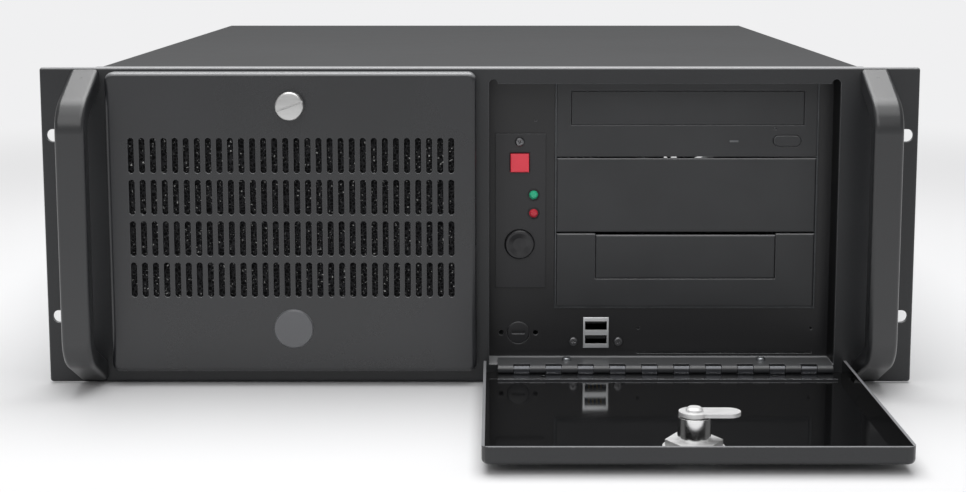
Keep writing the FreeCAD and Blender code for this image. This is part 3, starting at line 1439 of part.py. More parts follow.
def make_board():
    board = block(("board_left", "board_right"), ("board_front", "board_back"), ("board_rise", "board_top"))
    post = new_body("post")
    pad(post, polygon(sketch_on(post, "XY_Plane", "sheet"), hexagon("stand_off*2")), "board_rise - sheet")
    posts = []
    for x in ("board_left + post_inset", "(board_left + board_right)/2", "board_right - post_inset"):
        for y in ("board_front + post_inset", "(board_front + board_back)/2", "board_back - post_inset"):
            posts.append(at(post, x, y))
    sockets = []
    for index in range(SIZES["slot_count"]):
        x = f"card_first + {index}*card_pitch"
        sockets.append(block((f"{x} - socket_width/2", f"{x} + socket_width/2"),
                             ("board_back - socket_setback - socket_length", "board_back - socket_setback"),
                             ("board_top", "board_top + socket_rise")))
    for index in range(SIZES["module_count"]):
        y = f"board_front + module_setback + {index}*module_pitch"
        sockets.append(block(("module_left - socket_width/2", "module_left + module_length + socket_width/2"),
                             (f"{y} - module_pitch/3", f"{y} + module_pitch/3"),
                             ("board_top", "board_top + socket_rise")))
    sockets.append(block(("sink_left", "sink_left + sink_width"), ("sink_front", "sink_front + sink_depth"),
                         ("board_top", "board_top + chip_height")))
    node("motherboard", fuse(board, *sockets))
    node("board_standoffs", *posts)
    modules = []
    for index in range(SIZES["module_count"]):
        y = f"board_front + module_setback + {index}*module_pitch"
        modules.append(block(("module_left", "module_left + module_length"),
                             (f"{y} - module_thick/2", f"{y} + module_thick/2"),
                             ("board_top + socket_rise", "board_top + socket_rise + module_height")))
    node("memory_modules", *modules)

    body = new_body("heatsink")
    left, front, foot = "sink_left", "sink_front", "board_top + chip_height"
    base = sketch_on(body, "XY_Plane", foot)
    rectangle(base, (left, f"{left} + sink_width"), (front, f"{front} + sink_depth"))
    pad(body, base, "sink_base")
    fin = rectangle(sketch_on(body, "XY_Plane", f"{foot} + sink_base"), (left, f"{left} + fin_thick"),
                    (front, f"{front} + sink_depth"))
    blade = pad(body, fin, "sink_height - sink_base")
    row_of(body, [blade], "X_Axis", "sink_width - fin_thick", "fin_count")
    node("cpu_heatsink", body)

    ports = block(("ports_left + contact_gap", "ports_left + port_block_width - contact_gap"),
                  ("board_back - port_block_depth", "body_depth + sheet"),
                  ("board_top", "board_top + port_block_height - contact_gap"))
    recesses = []
    for offset, wide, low, tall in REAR_SOCKETS:
        x, z = f"ports_left + {offset}", f"board_top + {low}"
        along = ("body_depth - sheet", "body_depth + 2*sheet")
        recesses.append(block((x, f"{x} + {wide}"), along, (z, f"{z} + {tall}")))
    for offset, rise in REAR_JACKS:
        start = (f"ports_left + {offset}", "body_depth - sheet", f"board_top + {rise}")
        recesses.append(rod("y", start, "jack_radius", "3*sheet"))
    node("port_block", cut(ports, *recesses))

    covers = []
    for index in range(SIZES["slot_count"]):
        x = f"card_first + {index}*card_pitch"
        across = (f"{x} - card_width/2", f"{x} + card_width/2")
        up = ("card_foot", "card_foot + card_height")
        blade = block(across, ("case_rear - card_sheet", "case_rear"), up)
        fold = block(across, ("case_rear - card_fold", "case_rear"), (f"{up[1]} - card_sheet", up[1]))
        covers.append(fuse(blade, fold))
    node("slot_covers", *covers)


def check_and_write():
    doc.recompute()
    failed = [item.Name for item in doc.Objects if {"Invalid", "Error"} & set(item.State)]
    if failed:
        raise ValueError(f"these objects failed: {failed}")
    os.makedirs("parts", exist_ok=True)
    for item in nodes:
        shape = item.Shape
        if shape.isNull() or not shape.isValid() or not shape.Solids:
            raise ValueError(f"{item.Label} has no valid solid")
    for item in nodes:
        item.Shape.exportStep(f"parts/{item.Label}.step")
    print(f"{len(nodes)} nodes, {sum(len(item.Shape.Solids) for item in nodes)} solids")


make_front_panel()
make_brackets()
node("handle_left", make_handle(), x="-handle_offset")
node("handle_right", make_handle(), x="handle_offset")
make_handle_screws()
make_filter_door()
make_filter_hinge()
make_filter()
make_fastener()
make_drive_door()
make_door_hinge()
make_lock()
make_bay_panel()
make_controls()
make_ports()
make_drives()
make_cage()
make_tray()
make_cover_plate()
make_rear_panel()
make_front_fans()
make_supply()
make_board()
check_and_write()
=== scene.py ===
# %% [markdown]
# # Dressing a rack server
# The solids of the machine come from CAD as a fixed frame: every node sits where it belongs, in metres,
# with X across the front, Y from the front to the rear and Z up. This lesson gives each node a finish,
# models the small pieces that CAD leaves plain, and sets up a camera and a studio.

# %% Load the frame
import math

import bpy
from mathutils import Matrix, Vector


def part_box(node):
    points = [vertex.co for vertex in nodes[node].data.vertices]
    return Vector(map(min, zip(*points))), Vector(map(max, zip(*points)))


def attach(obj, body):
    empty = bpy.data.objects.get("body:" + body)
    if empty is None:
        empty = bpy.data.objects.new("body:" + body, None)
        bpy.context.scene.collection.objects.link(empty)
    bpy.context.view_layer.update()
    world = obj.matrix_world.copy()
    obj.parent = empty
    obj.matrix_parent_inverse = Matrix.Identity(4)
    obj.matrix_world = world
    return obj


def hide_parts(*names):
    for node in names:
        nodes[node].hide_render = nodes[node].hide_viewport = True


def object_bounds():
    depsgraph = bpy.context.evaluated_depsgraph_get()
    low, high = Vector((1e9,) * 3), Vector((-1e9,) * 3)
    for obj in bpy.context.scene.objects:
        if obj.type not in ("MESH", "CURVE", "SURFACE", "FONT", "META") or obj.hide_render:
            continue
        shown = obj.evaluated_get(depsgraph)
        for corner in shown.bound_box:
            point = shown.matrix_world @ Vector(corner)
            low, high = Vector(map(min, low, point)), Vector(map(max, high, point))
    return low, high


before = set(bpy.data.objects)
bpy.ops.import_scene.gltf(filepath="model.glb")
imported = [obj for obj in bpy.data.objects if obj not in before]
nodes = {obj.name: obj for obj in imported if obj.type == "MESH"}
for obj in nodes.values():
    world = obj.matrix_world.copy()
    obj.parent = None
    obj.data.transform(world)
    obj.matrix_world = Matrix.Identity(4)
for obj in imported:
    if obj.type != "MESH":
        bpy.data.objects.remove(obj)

MM = 0.001
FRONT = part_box("front_panel")[0].y
cad_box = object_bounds()


def spot(x, y, z):
    """A place in millimetres, with Y counted back from the front panel's face."""
    return Vector((x * MM, FRONT + y * MM, z * MM))


print("CAD box", [tuple(round(value, 4) for value in corner) for corner in cad_box])

# %% [markdown]
# ## Colours and nodes
# Colours are written as the hex values a screen would show. Blender's shaders work on linear light, so one
# function turns hex into linear numbers. A second function adds a shader node, sets its inputs and links
# it, which keeps the recipes below short. The ones after it add the nodes that nearly every finish needs.

# %% Helpers for materials
def linear(code):
    """Linear light from the hex value of a screen colour."""
    values = [int(code[place:place + 2], 16) / 255 for place in (0, 2, 4)]
    bright = [v / 12.92 if v <= 0.04045 else ((v + 0.055) / 1.055) ** 2.4 for v in values]
    return (*bright, 1.0)


def add(tree, kind, settings=None, inputs=None, links=None):
    """Add a node; inputs are values by socket, links are sockets that feed it."""
    item = tree.nodes.new(kind)
    for name, value in (settings or {}).items():
        setattr(item, name, value)
    for name, value in (inputs or {}).items():
        item.inputs[name].default_value = value
    for name, source in (links or {}).items():
        tree.links.new(source, item.inputs[name])
    return item


def noise(tree, place, scale, detail):
    """A number from 0 to 1 that wanders over the surface."""
    inputs = {"Scale": scale, "Detail": detail}
    return add(tree, "ShaderNodeTexNoise", None, inputs, {"Vector": place}).outputs[0]


def remap(tree, source, old=(0.0, 1.0), new=(0.0, 1.0), **settings):
    """Move a number from an old range to a new one."""
    inputs = {"From Min": old[0], "From Max": old[1], "To Min": new[0], "To Max": new[1]}
    return add(tree, "ShaderNodeMapRange", settings, inputs, {"Value": source}).outputs[0]


def math_node(tree, operation, inputs, links):
    """One step of arithmetic; inputs are plain values by socket, links come from other nodes."""
    return add(tree, "ShaderNodeMath", {"operation": operation}, inputs, links).outputs[0]


def lay_over(tree, share, under, tone):
    """Lay a plain tone over a colour, by a share from 0 to 1."""
    layer = add(tree, "ShaderNodeMix", {"data_type": "RGBA"}, {7: linear(tone)}, {0: share, 6: under})
    return layer.outputs[2]


def vary_roughness(tree, shader, source, low, high):
    """Let a number from 0 to 1 move the roughness between two values."""
    tree.links.new(remap(tree, source, new=(low, high)), shader.inputs["Roughness"])


def relief(tree, shader, links, strength, depth_mm, **settings):
    """Turn a height into a fine relief."""
    bump = add(tree, "ShaderNodeBump", settings, {"Strength": strength, "Distance": depth_mm * MM}, links)
    tree.links.new(bump.outputs["Normal"], shader.inputs["Normal"])


def two_tones(tree, source, dark, light, low=0.35, high=0.65):
    """Turn a number into a colour between two tones."""
    ramp = add(tree, "ShaderNodeValToRGB", None, None, {"Fac": source})
    for element, position, colour in zip(ramp.color_ramp.elements, (low, high), (dark, light)):
        element.position = position
        element.color = linear(colour)
    return ramp.outputs["Color"]


def start_material(name, colour, roughness, metallic=0.0, **more):
    """A new material with its shader's plain values set, and Object coordinates ready to use."""
    material = bpy.data.materials.new(name)
    material.use_nodes = True
    tree = material.node_tree
    shader = tree.nodes["Principled BSDF"]
    plain = {"Base Color": linear(colour), "Roughness": roughness, "Metallic": metallic, **more}
    for socket, value in plain.items():
        shader.inputs[socket].default_value = value
    place = add(tree, "ShaderNodeTexCoord").outputs["Object"]
    return material, tree, shader, place


# %% [markdown]
# ## Edges
# CAD edges are mathematically sharp, and real ones never are: a folded sheet, a moulding or a plated casting
# has a small radius that catches the light. A Bevel node rounds the shading over that radius. Where the
# rounded direction leaves the flat face's own, the colour turns paler: partly a thinner coat rubbed by hands,
# and partly a painted highlight along the edge. Whatever looks upwards turns paler as well: partly fine dust,
# and partly painted light from above, which draws a pale line along the top of every bezel and fold.
# Up is taken in the piece's own axes, so the pale film stays where it was laid when a door swings.

# %% Rounded, rubbed and dusty edges, with painted highlights and painted top light
DUST_AND_TOP_LIGHT_TONE = "c4c5c7"
RUB_AND_HIGHLIGHT_TURN = (0.95, 0.75)
DUST_AND_TOP_LIGHT_RISE = (0.2, 0.9)


def soft_edge(tree, radius_mm):
    """A shading direction that is rounded over the edges, and how far it turns there, from 0 to 1."""
    soft = add(tree, "ShaderNodeBevel", {"samples": 4}, {"Radius": radius_mm * MM}).outputs["Normal"]
    flat = add(tree, "ShaderNodeNewGeometry").outputs["Normal"]
    turn = add(tree, "ShaderNodeVectorMath", {"operation": "DOT_PRODUCT"}, None, {0: soft, 1: flat})
    return soft, remap(tree, turn.outputs["Value"], RUB_AND_HIGHLIGHT_TURN)


def surface(tree, shader, tint, edge_wear_and_highlight_tone, rub_and_highlight, height, soft, bump, depth_mm, dust_and_top_light):
    """Join a tint, a paler edge (part wear, part painted highlight), a pale film on upward faces (part
    dusting, part painted top light) and a fine relief to the shader.
    """
    # Paler edges: partly worn coat, partly painted highlight.
    colour = lay_over(tree, rub_and_highlight, tint, edge_wear_and_highlight_tone)
    # Pale film on upward faces: partly dust, partly painted light from above.
    if dust_and_top_light:
        axes = {"vector_type": "NORMAL", "convert_from": "WORLD", "convert_to": "OBJECT"}
        own = add(tree, "ShaderNodeVectorTransform", axes, None, {"Vector": soft})
        rise = add(tree, "ShaderNodeSeparateXYZ", None, None, {"Vector": own.outputs["Vector"]})
        dust_and_top_light_film = remap(tree, rise.outputs["Z"], DUST_AND_TOP_LIGHT_RISE, (0.0, dust_and_top_light))
        colour = lay_over(tree, dust_and_top_light_film, colour, DUST_AND_TOP_LIGHT_TONE)
    tree.links.new(colour, shader.inputs["Base Color"])
    relief(tree, shader, {"Height": height, "Normal": soft}, bump, depth_mm)


# %% [markdown]
# ## Powder coat
# The front panel, both doors, the cover and the handles are powder coated: the powder melts to a fine orange
# peel with humps well under a millimetre. It is half glossy, so every bend throws back a bright line
# from the light overhead. The humps are drawn at 0.8 mm, coarser than real ones, so that they show.
# A broad faint noise stands for handling and dust. The hinge leaf is painted in the same way, and the
# handles and the filter door have a thin clear coat as well.

# %% Powder coated steel and aluminium
PEEL_MM = 0.05
GRAIN_SHARE, CLOUD_SHARE = 0.45, 0.55
CLEAR_COAT_ROUGHNESS = 0.24


def powder_coat(name, dark, light, edge_wear_and_highlight_tone, grain_mm, roughness, bump, shine, edge_mm=0.7, dust_and_top_light=0.0):
    """A coat with orange peel, from its tones, grain, roughness, relief, shine, edge radius and dust."""
    material, tree, shader, place = start_material(name, dark, roughness, **{"Specular IOR Level": shine})
    grain = noise(tree, place, scale=1 / (grain_mm * MM), detail=3.0)
    cloud = noise(tree, place, scale=14.0, detail=4.0)
    part = math_node(tree, "MULTIPLY", {1: GRAIN_SHARE}, {0: grain})
    total = math_node(tree, "MULTIPLY_ADD", {1: CLOUD_SHARE}, {0: cloud, 2: part})
    vary_roughness(tree, shader, cloud, roughness - 0.06, roughness + 0.08)
    soft, rub_and_highlight = soft_edge(tree, edge_mm)
    tint = two_tones(tree, total, dark, light)
    surface(tree, shader, tint, edge_wear_and_highlight_tone, rub_and_highlight, grain, soft, bump, PEEL_MM, dust_and_top_light)
    return material


# Each coat's edge tone paints highlights along edges as well as wear, and its dust share paints light on
# upward faces as well as dust.
panel_coat = powder_coat("powder_coat_graphite", "252628", "2d2e30", "77787b", 0.8, 0.36, 0.35, 0.5, dust_and_top_light=0.7)
door_coat = powder_coat("powder_coat_graphite_door", "1f2022", "27282b", "56575a", 0.8, 0.26, 0.35, 0.55,
                        dust_and_top_light=0.6)
cover_coat = powder_coat("powder_coat_grey", "2c2d2f", "353638", "505154", 0.9, 0.45, 0.5, 0.5)
inner_coat = powder_coat("powder_coat_black", "18181a", "1f1f21", "77777a", 0.7, 0.36, 0.3, 0.6,
                         edge_mm=0.5, dust_and_top_light=0.5)
# Painted shade: the recess's surround walls are darkened where shade falls.
painted_shade_coat = powder_coat("powder_coat_black_surround_painted_shade", "0c0c0d", "111112", "3a3a3d", 0.7, 0.45, 0.3, 0.25,
                         edge_mm=0.5)
leaf_coat = powder_coat("black_paint_on_hinge_steel", "2a2b2d", "313235", "8a8a8d", 0.7, 0.3, 0.2, 0.9,
                        edge_mm=0.4, dust_and_top_light=0.15)
plate_coat = powder_coat("powder_coat_black_plate", "1e1e20", "252528", "4c4c4f", 0.7, 0.36, 0.3, 0.6,
                         edge_mm=0.5, dust_and_top_light=0.5)
handle_coat = powder_coat("satin_coat_on_aluminium", "1f2022", "262729", "4a4b4e", 0.5, 0.3, 0.12, 0.6)
disc_coat = powder_coat("satin_lacquer_disc", "56575a", "606164", "9a9b9e", 0.5, 0.34, 0.12, 0.8)
# A pale coat for the drive door's rim tops: partly rubbed thin, partly painted highlight.
rim_top_wear_and_highlight = powder_coat("powder_coat_rim_top_wear_and_highlight", "8a8b8e", "9a9b9e", "aaabae", 0.8, 0.34, 0.2, 0.8)
for coat, weight in ((handle_coat, 0.4), (door_coat, 0.28)):
    sockets = coat.node_tree.nodes["Principled BSDF"].inputs
    sockets["Coat Weight"].default_value = weight
    sockets["Coat Roughness"].default_value = CLEAR_COAT_ROUGHNESS
print("powder coats", len(bpy.data.materials))

# %% [markdown]
# ## Stove enamel
# The inside of the drive door is sprayed with black enamel and baked. It flows out almost like glass, so it
# mirrors the bay above it. A low roughness and a slow waviness of a few centimetres keep the mirror from
# looking like perfect glass, and settled dust dulls it in grains.

# %% Black gloss enamel
enamel, tree, shader, place = start_material(
    "black_stove_enamel", "0b0b0c", 0.1, **{"Coat Weight": 0.6, "Coat Roughness": 0.06})
wave = noise(tree, place, scale=30.0, detail=1.0)
specks = noise(tree, place, scale=900.0, detail=2.0)
haze = remap(tree, specks, old=(0.5, 0.8), new=(0.07, 0.16))
tree.links.new(haze, shader.inputs["Roughness"])
tree.links.new(two_tones(tree, specks, "0b0b0c", "1b1b1c", 0.55, 0.8), shader.inputs["Base Color"])
relief(tree, shader, {"Height": wave}, strength=0.05, depth_mm=0.2)
print("made", enamel.name)

# %% [markdown]
# ## Plated and bare metals
# Zinc-plated sheet has a faint crystal pattern of a few millimetres and drawn lines. Chromium is almost a
# mirror on the lock's barrel and satin on its nut and cam. The fastener is turned and nickel plated, so it is
# bright with a little haze. Sheared edges are bare steel. Black oxide on screws is nearly black but still a
# metal.

# %% Metals
DRAWN = (1.0, 8.0, 8.0)
DRAWN_RELIEF, DRAWN_MM = 0.05, 0.02


def plated(name, dark, light, edge_wear_and_highlight_tone, roughness, cell_mm, cell_share, edge_mm=0.35):
    """A metal with crystal cells and fine lines along X."""
    material, tree, shader, place = start_material(name, light, roughness, 1.0)
    cells = add(tree, "ShaderNodeTexVoronoi", None, {"Scale": 1 / (cell_mm * MM)}, {"Vector": place})
    grey = add(tree, "ShaderNodeSeparateColor", None, None, {"Color": cells.outputs["Color"]})
    drawn = add(tree, "ShaderNodeMapping", None, {"Scale": DRAWN}, {"Vector": place})
    streak = noise(tree, drawn.outputs[0], scale=90.0, detail=4.0)
    total = math_node(tree, "MULTIPLY_ADD", {1: cell_share}, {0: grey.outputs[0], 2: streak})
    vary_roughness(tree, shader, streak, roughness - 0.05, roughness + 0.07)
    soft, rub_and_highlight = soft_edge(tree, edge_mm)
    tint = two_tones(tree, total, dark, light, 0.35, 0.65 + cell_share)
    surface(tree, shader, tint, edge_wear_and_highlight_tone, rub_and_highlight, streak, soft, DRAWN_RELIEF, DRAWN_MM, dust_and_top_light=0.0)
    return material


# Each metal's paler edge tone is partly wear and partly a painted highlight along its edges.
zinc = plated("zinc_plated_steel", "9b9ea1", "c2c5c8", "d4d6d8", 0.34, 6.0, 0.35)
cage_zinc = plated("zinc_plated_cage", "585a5c", "6c6e70", "7e8082", 0.42, 6.0, 0.3)
bright_tin = plated("bright_tin_plate", "eceef0", "f2f3f4", "fafafa", 0.46, 3.0, 0.05, 0.1)
# Painted shade: a dark tin for the inside of the port's shell.
painted_shade_tin = plated("tin_plate_painted_shade_inside", "2a2a2c", "363638", "4a4a4c", 0.5, 3.0, 0.1)
chromium = plated("polished_chromium_plate", "e2e2e2", "f0f0f0", "fafafa", 0.16, 4.0, 0.05)
satin_chromium = plated("satin_chromium_plate", "e2e2e2", "f0f0f0", "fafafa", 0.58, 4.0, 0.05)
nickel = plated("nickel_plate_turned", "cacac9", "d0d0cf", "f0f0f0", 0.36, 8.0, 0.02, 0.15)
cut_steel = plated("sheared_steel_edge", "b0b1b3", "c4c5c7", "dcdcde", 0.6, 2.0, 0.1, 0.1)
hinge_steel = plated("black_passivated_steel", "5c5d60", "6a6b6e", "b0b1b4", 0.2, 3.0, 0.15, 0.3)
blackened = plated("black_oxide_steel", "6e6e70", "828284", "c4c4c6", 0.34, 0.8, 0.2)
cast_alloy = plated("cast_aluminium", "8f9296", "b4b7bb", "c6c8ca", 0.44, 2.5, 0.35)
brass = plated("turned_brass", "a8873f", "c9a95a", "dcc07a", 0.3, 2.0, 0.1)
print("metals", [m.name for m in (zinc, chromium, nickel, blackened, cast_alloy, brass)])

# %% [markdown]
# ## Moulded plastics
# The drive bezels and blanks are ABS from a spark-eroded mould, which leaves a fine matt grain. The coloured
# button and the lamps are glossier, because their moulds are polished. The lamps' resin lets some light in.

# %% Plastics
MOULD_MM = 0.03


def moulded(name, dark, light, edge_wear_and_highlight_tone, roughness, grain_mm, bump, edge_mm=0.35, dust_and_top_light=0.0):
    """A moulding, from its tones, roughness, the mould's grain and relief, edge radius and dust."""
    material, tree, shader, place = start_material(name, dark, roughness)
    grain = noise(tree, place, scale=1 / (grain_mm * MM), detail=2.0)
    cloud = noise(tree, place, scale=22.0, detail=3.0)
    vary_roughness(tree, shader, cloud, roughness - 0.05, roughness + 0.07)
    soft, rub_and_highlight = soft_edge(tree, edge_mm)
    tint = two_tones(tree, cloud, dark, light)
    surface(tree, shader, tint, edge_wear_and_highlight_tone, rub_and_highlight, grain, soft, bump, MOULD_MM, dust_and_top_light)
    return material


# The bezels' pale edge tone and dust share paint highlights on edges and light on upward faces, as well as
# wear and dust.
bezel_abs = moulded("abs_matt_grain", "303133", "37383a", "66676a", 0.36, 0.5, 0.35, edge_mm=0.9, dust_and_top_light=0.7)
black_abs = moulded("abs_black", "161618", "1e1e20", "2a2a2c", 0.4, 0.5, 0.3)
key_abs = moulded("abs_black_key", "262628", "2e2e30", "48484a", 0.3, 0.5, 0.15)
red_abs = moulded("abs_red", "fa3e50", "ff4a5c", "ff8088", 0.3, 0.6, 0.12)
green_lens = moulded("green_lamp_resin", "2fbd8b", "46d6a8", "8ae8c8", 0.18, 1.0, 0.05)
red_lens = moulded("red_lamp_resin", "cc3040", "dc4654", "f08a92", 0.18, 1.0, 0.05)
smoked = moulded("smoked_lamp_window", "6a6c6e", "77797b", "8c8e90", 0.25, 1.0, 0.05)
for lens in (green_lens, red_lens):
    sockets = lens.node_tree.nodes["Principled BSDF"].inputs
    sockets["Subsurface Weight"].default_value = 0.2
    sockets["Subsurface Radius"].default_value = (0.001, 0.001, 0.001)
print("plastics", [m.name for m in (bezel_abs, black_abs, key_abs, red_abs, green_lens, red_lens, smoked)])

# %% [markdown]
# ## Filter foam
# The filter is reticulated polyurethane foam: a web of black struts round open cells of about two
# millimetres. Seen through the slots it is nearly black, with pale points that are partly lint hanging on a
# strut and partly painted glints where a strut is bare. The struts are paler and the middles of the cells
# darker, which paints the shade deep in the open cells. Both come from the distance to a Voronoi cell's edge,
# and the pale points from the brightest part of a fine noise.

# %% Open-cell foam
CELL_MM, LINT_AND_GLINT_MM = 2.0, 1.3
foam_black, tree, shader, place = start_material(
    "reticulated_foam", "0d0d0e", 0.8, **{"Specular IOR Level": 0.15})
cells = add(tree, "ShaderNodeTexVoronoi", {"feature": "DISTANCE_TO_EDGE"}, {"Scale": 1 / (CELL_MM * MM)}, {
    "Vector": place})
wall = cells.outputs["Distance"]
# Paler struts and darker cell middles: painted shade in the open cells.
web_and_cell_shade = two_tones(tree, wall, "2e2e30", "030304", 0.0, 0.14)
lint_and_glint_noise = noise(tree, place, scale=1 / (LINT_AND_GLINT_MM * MM), detail=2.0)
# Pale points: partly lint, partly painted glints.
lint_and_glint = remap(tree, lint_and_glint_noise, old=(0.64, 0.72))
tree.links.new(lay_over(tree, lint_and_glint, web_and_cell_shade, "b9b9b7"), shader.inputs["Base Color"])
relief(tree, shader, {"Height": wall}, strength=0.9, depth_mm=0.5, invert=True)
print("made", foam_black.name)

# %% [markdown]
# ## Circuit board
# Glass-fibre laminate under green solder mask: glossy, with copper tracks that show through as paler lines.
# A brick pattern of thin lines, a few millimetres apart, gives that look at the distance it is seen from.

# %% Board laminate
laminate, tree, shader, place = start_material("solder_masked_laminate", "1f5636", 0.32)
tracks = add(tree, "ShaderNodeTexBrick", {"offset": 0.37, "squash": 1.6}, {
    "Scale": 60.0, "Mortar Size": 0.012, "Color1": linear("1d5234"), "Color2": linear("23603d"),
    "Mortar": linear("3f8a5c")}, {"Vector": place})
tree.links.new(tracks.outputs["Color"], shader.inputs["Base Color"])
print("made", laminate.name)

# %% [markdown]
# ## Give every node its finish
# A node whose shape is right keeps its CAD mesh and only gets a finish. The drive door takes three: powder
# coat outside, enamel on what faces the drives when it is shut, and a pale coat along the tops of its rims,
# partly thin rubbed coat and partly painted highlight. With the door lying open, the enamelled faces are
# those inside the rims. The bay panel was sheared after it was coated, so its cut edges are bare steel. The
# port's shell is bright at its front and darker inside, where shade is painted on the tin.

# %% Assign the finishes
FINISHES = {
    panel_coat: "front_panel ear_brackets drive_door",
    door_coat: "filter_door",
    cover_coat: "top_cover",
    inner_coat: "bay_panel port_blank",
    painted_shade_coat: "bay_surround",
    plate_coat: "control_plate",
    hinge_steel: "hinge_moving_leaf hinge_pin",
    leaf_coat: "hinge_fixed_leaf",
    handle_coat: "handle_left handle_right",
    zinc: "chassis_tray rear_panel optical_case psu_case filter_retainer",
    cage_zinc: "drive_cage",
    bright_tin: "usb_shell slot_covers",
    blackened: "front_screws handle_screws filter_hinge_lugs filter_hinge_pins cover_screws",
    chromium: "lock_barrel lock_plug",
    satin_chromium: "lock_nut lock_cam lock_cam_screw",
    nickel: "filter_fastener",
    disc_coat: "badge_disc",
    cast_alloy: "hard_disk cpu_heatsink",
    brass: "board_standoffs",
    bezel_abs: "optical_bezel optical_tray blank_bay_cover bay_adapter_bezel small_bay_blank eject_button",
    black_abs: "front_fan_frames front_fan_rotor_left front_fan_rotor_right psu_fan_rotor psu_inlet "
               "psu_switch front_switches usb_tongues memory_modules port_block",
    foam_black: "filter_foam",
    key_abs: "power_button",
    red_abs: "reset_button",
    green_lens: "power_lamp",
    red_lens: "disk_lamp",
    laminate: "motherboard",
}
for finish, names in FINISHES.items():
    for name in names.split():
        nodes[name].data.materials.clear()
        nodes[name].data.materials.append(finish)
print("finished nodes", sum(len(names.split()) for names in FINISHES.values()))


def second_finish(item, finish, test):
    """Give a piece one more finish, on the faces whose middle and direction pass a test."""
    item.data.materials.append(finish)
    index = len(item.data.materials) - 1
    chosen = [face for face in item.data.polygons if test(face.center, face.normal)]
    for face in chosen:
        face.material_index = index
    print(item.name, "has", finish.name, "on", len(chosen), "faces")


low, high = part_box("drive_door")
RIM_WALL, SKIN, RIM_TOP = 1 * MM, 1.2 * MM, high.z - 0.1 * MM
second_finish(nodes["drive_door"], enamel, lambda middle, normal: (
    low.x + RIM_WALL < middle.x < high.x - RIM_WALL and low.y + RIM_WALL < middle.y
    and low.z + SKIN < middle.z < RIM_TOP))
# Pale upward rim tops: partly worn coat, partly painted highlight.
second_finish(nodes["drive_door"], rim_top_wear_and_highlight, lambda middle, normal: middle.z > RIM_TOP and normal.z > 0.9)
second_finish(nodes["bay_panel"], cut_steel, lambda middle, normal: abs(normal.y) < 0.1)
shell_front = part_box("usb_shell")[0].y + 0.2 * MM
# The inside of the port's shell gets the dark tin: painted shade.
second_finish(nodes["usb_shell"], painted_shade_tin, lambda middle, normal: middle.y > shell_front)

# %% [markdown]
# ## Modelling by operators
# The new pieces are made as they would be by hand: a primitive is added, faces or edges are selected, and
# edit mode's tools shape them. An operator acts on all that is selected, so each helper first clears the
# selection. The place of a piece is applied to its mesh, so its object stays at the origin.

# %% Helpers for modelling
def clear_selection():
    """Go to object mode with nothing selected."""
    if bpy.context.object and bpy.context.object.mode != "OBJECT":
        bpy.ops.object.mode_set(mode="OBJECT")
    bpy.ops.object.select_all(action="DESELECT")


def only(item):
    """Make one object the selected and active one, in object mode."""
    clear_selection()
    item.select_set(True)
    bpy.context.view_layer.objects.active = item


def start_piece(name, kind, **settings):
    """Add a primitive and apply its place, turn and scale to its mesh."""
    clear_selection()
    getattr(bpy.ops.mesh, f"primitive_{kind}_add")(**settings)
    item = bpy.context.active_object
    item.name = name
    bpy.ops.object.transform_apply(location=True, rotation=True, scale=True)
    return item


def start_box(name, sides_mm, place=(0, 0, 0), turn=(0, 0, 0)):
    """Add a box by its three sides in millimetres."""
    sides = tuple(side * MM for side in sides_mm)
    return start_piece(name, "cube", size=1, scale=sides, location=place, rotation=turn)


def choose(item, kind, test):
    """Go to edit mode with just those faces or edges selected whose middle and direction pass a test."""
    only(item)
    bpy.ops.object.mode_set(mode="EDIT")
    bpy.ops.mesh.select_mode(type=kind)
    bpy.ops.mesh.select_all(action="DESELECT")
    bpy.ops.object.mode_set(mode="OBJECT")
    mesh = item.data
    if kind == "FACE":
        for face in mesh.polygons:
            face.select = test(face.center, face.normal)
    else:
        for edge in mesh.edges:
            first, last = (mesh.vertices[index].co for index in edge.vertices)
            edge.select = test((first + last) / 2, (last - first).normalized())
    bpy.ops.object.mode_set(mode="EDIT")


def round_off(item, radius_mm, segments, test):
    """Bevel the edges whose middle and direction pass a test."""
    choose(item, "EDGE", test)
    bpy.ops.mesh.bevel(offset=radius_mm * MM, segments=segments, affect="EDGES")


def push(x, y, z):
    """Extrude the chosen faces by a step in metres."""
    bpy.ops.mesh.extrude_region_move(TRANSFORM_OT_translate={"value": (x, y, z)})


def carve(item, cutter):
    """Cut one piece out of another, and delete the cutter."""
    only(item)
    step = item.modifiers.new("carve", "BOOLEAN")
    step.operation, step.solver, step.object, step.use_self = "DIFFERENCE", "EXACT", cutter, True
    bpy.ops.object.modifier_apply(modifier=step.name)
    bpy.data.objects.remove(cutter)


def join(pieces, name):
    """Join several pieces into the first of them."""
    only(pieces[0])
    for other in pieces:
        other.select_set(True)
    bpy.ops.object.join()
    pieces[0].name = name
    return pieces[0]


def copies(item, name, places):
    """Copy a piece to several places and turns, each with its own mesh, and join the copies."""
    made = []
    for place, turn in places:
        only(item)
        bpy.ops.object.duplicate(linked=False)
        other = bpy.context.active_object
        other.location, other.rotation_euler = place, turn
        bpy.ops.object.transform_apply(location=True, rotation=True, scale=True)
        made.append(other)
    bpy.data.objects.remove(item)
    return join(made, name)


def dress(item, finish, body, slot, *replaced):
    """Shade a finished piece, give it its finish and body, and hide the CAD nodes it stands for."""
    only(item)
    bpy.ops.object.shade_smooth_by_angle(angle=math.radians(35))
    item.data.materials.clear()
    item.data.materials.append(finish)
    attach(item, body)
    if replaced:
        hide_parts(*replaced)
    print(item.name, "faces", len(item.data.polygons), "rides on", body)


TO_FRONT = (math.radians(90), 0, 0)
TO_REAR = (math.radians(-90), 0, 0)
UPRIGHT = (0, 0, 0)

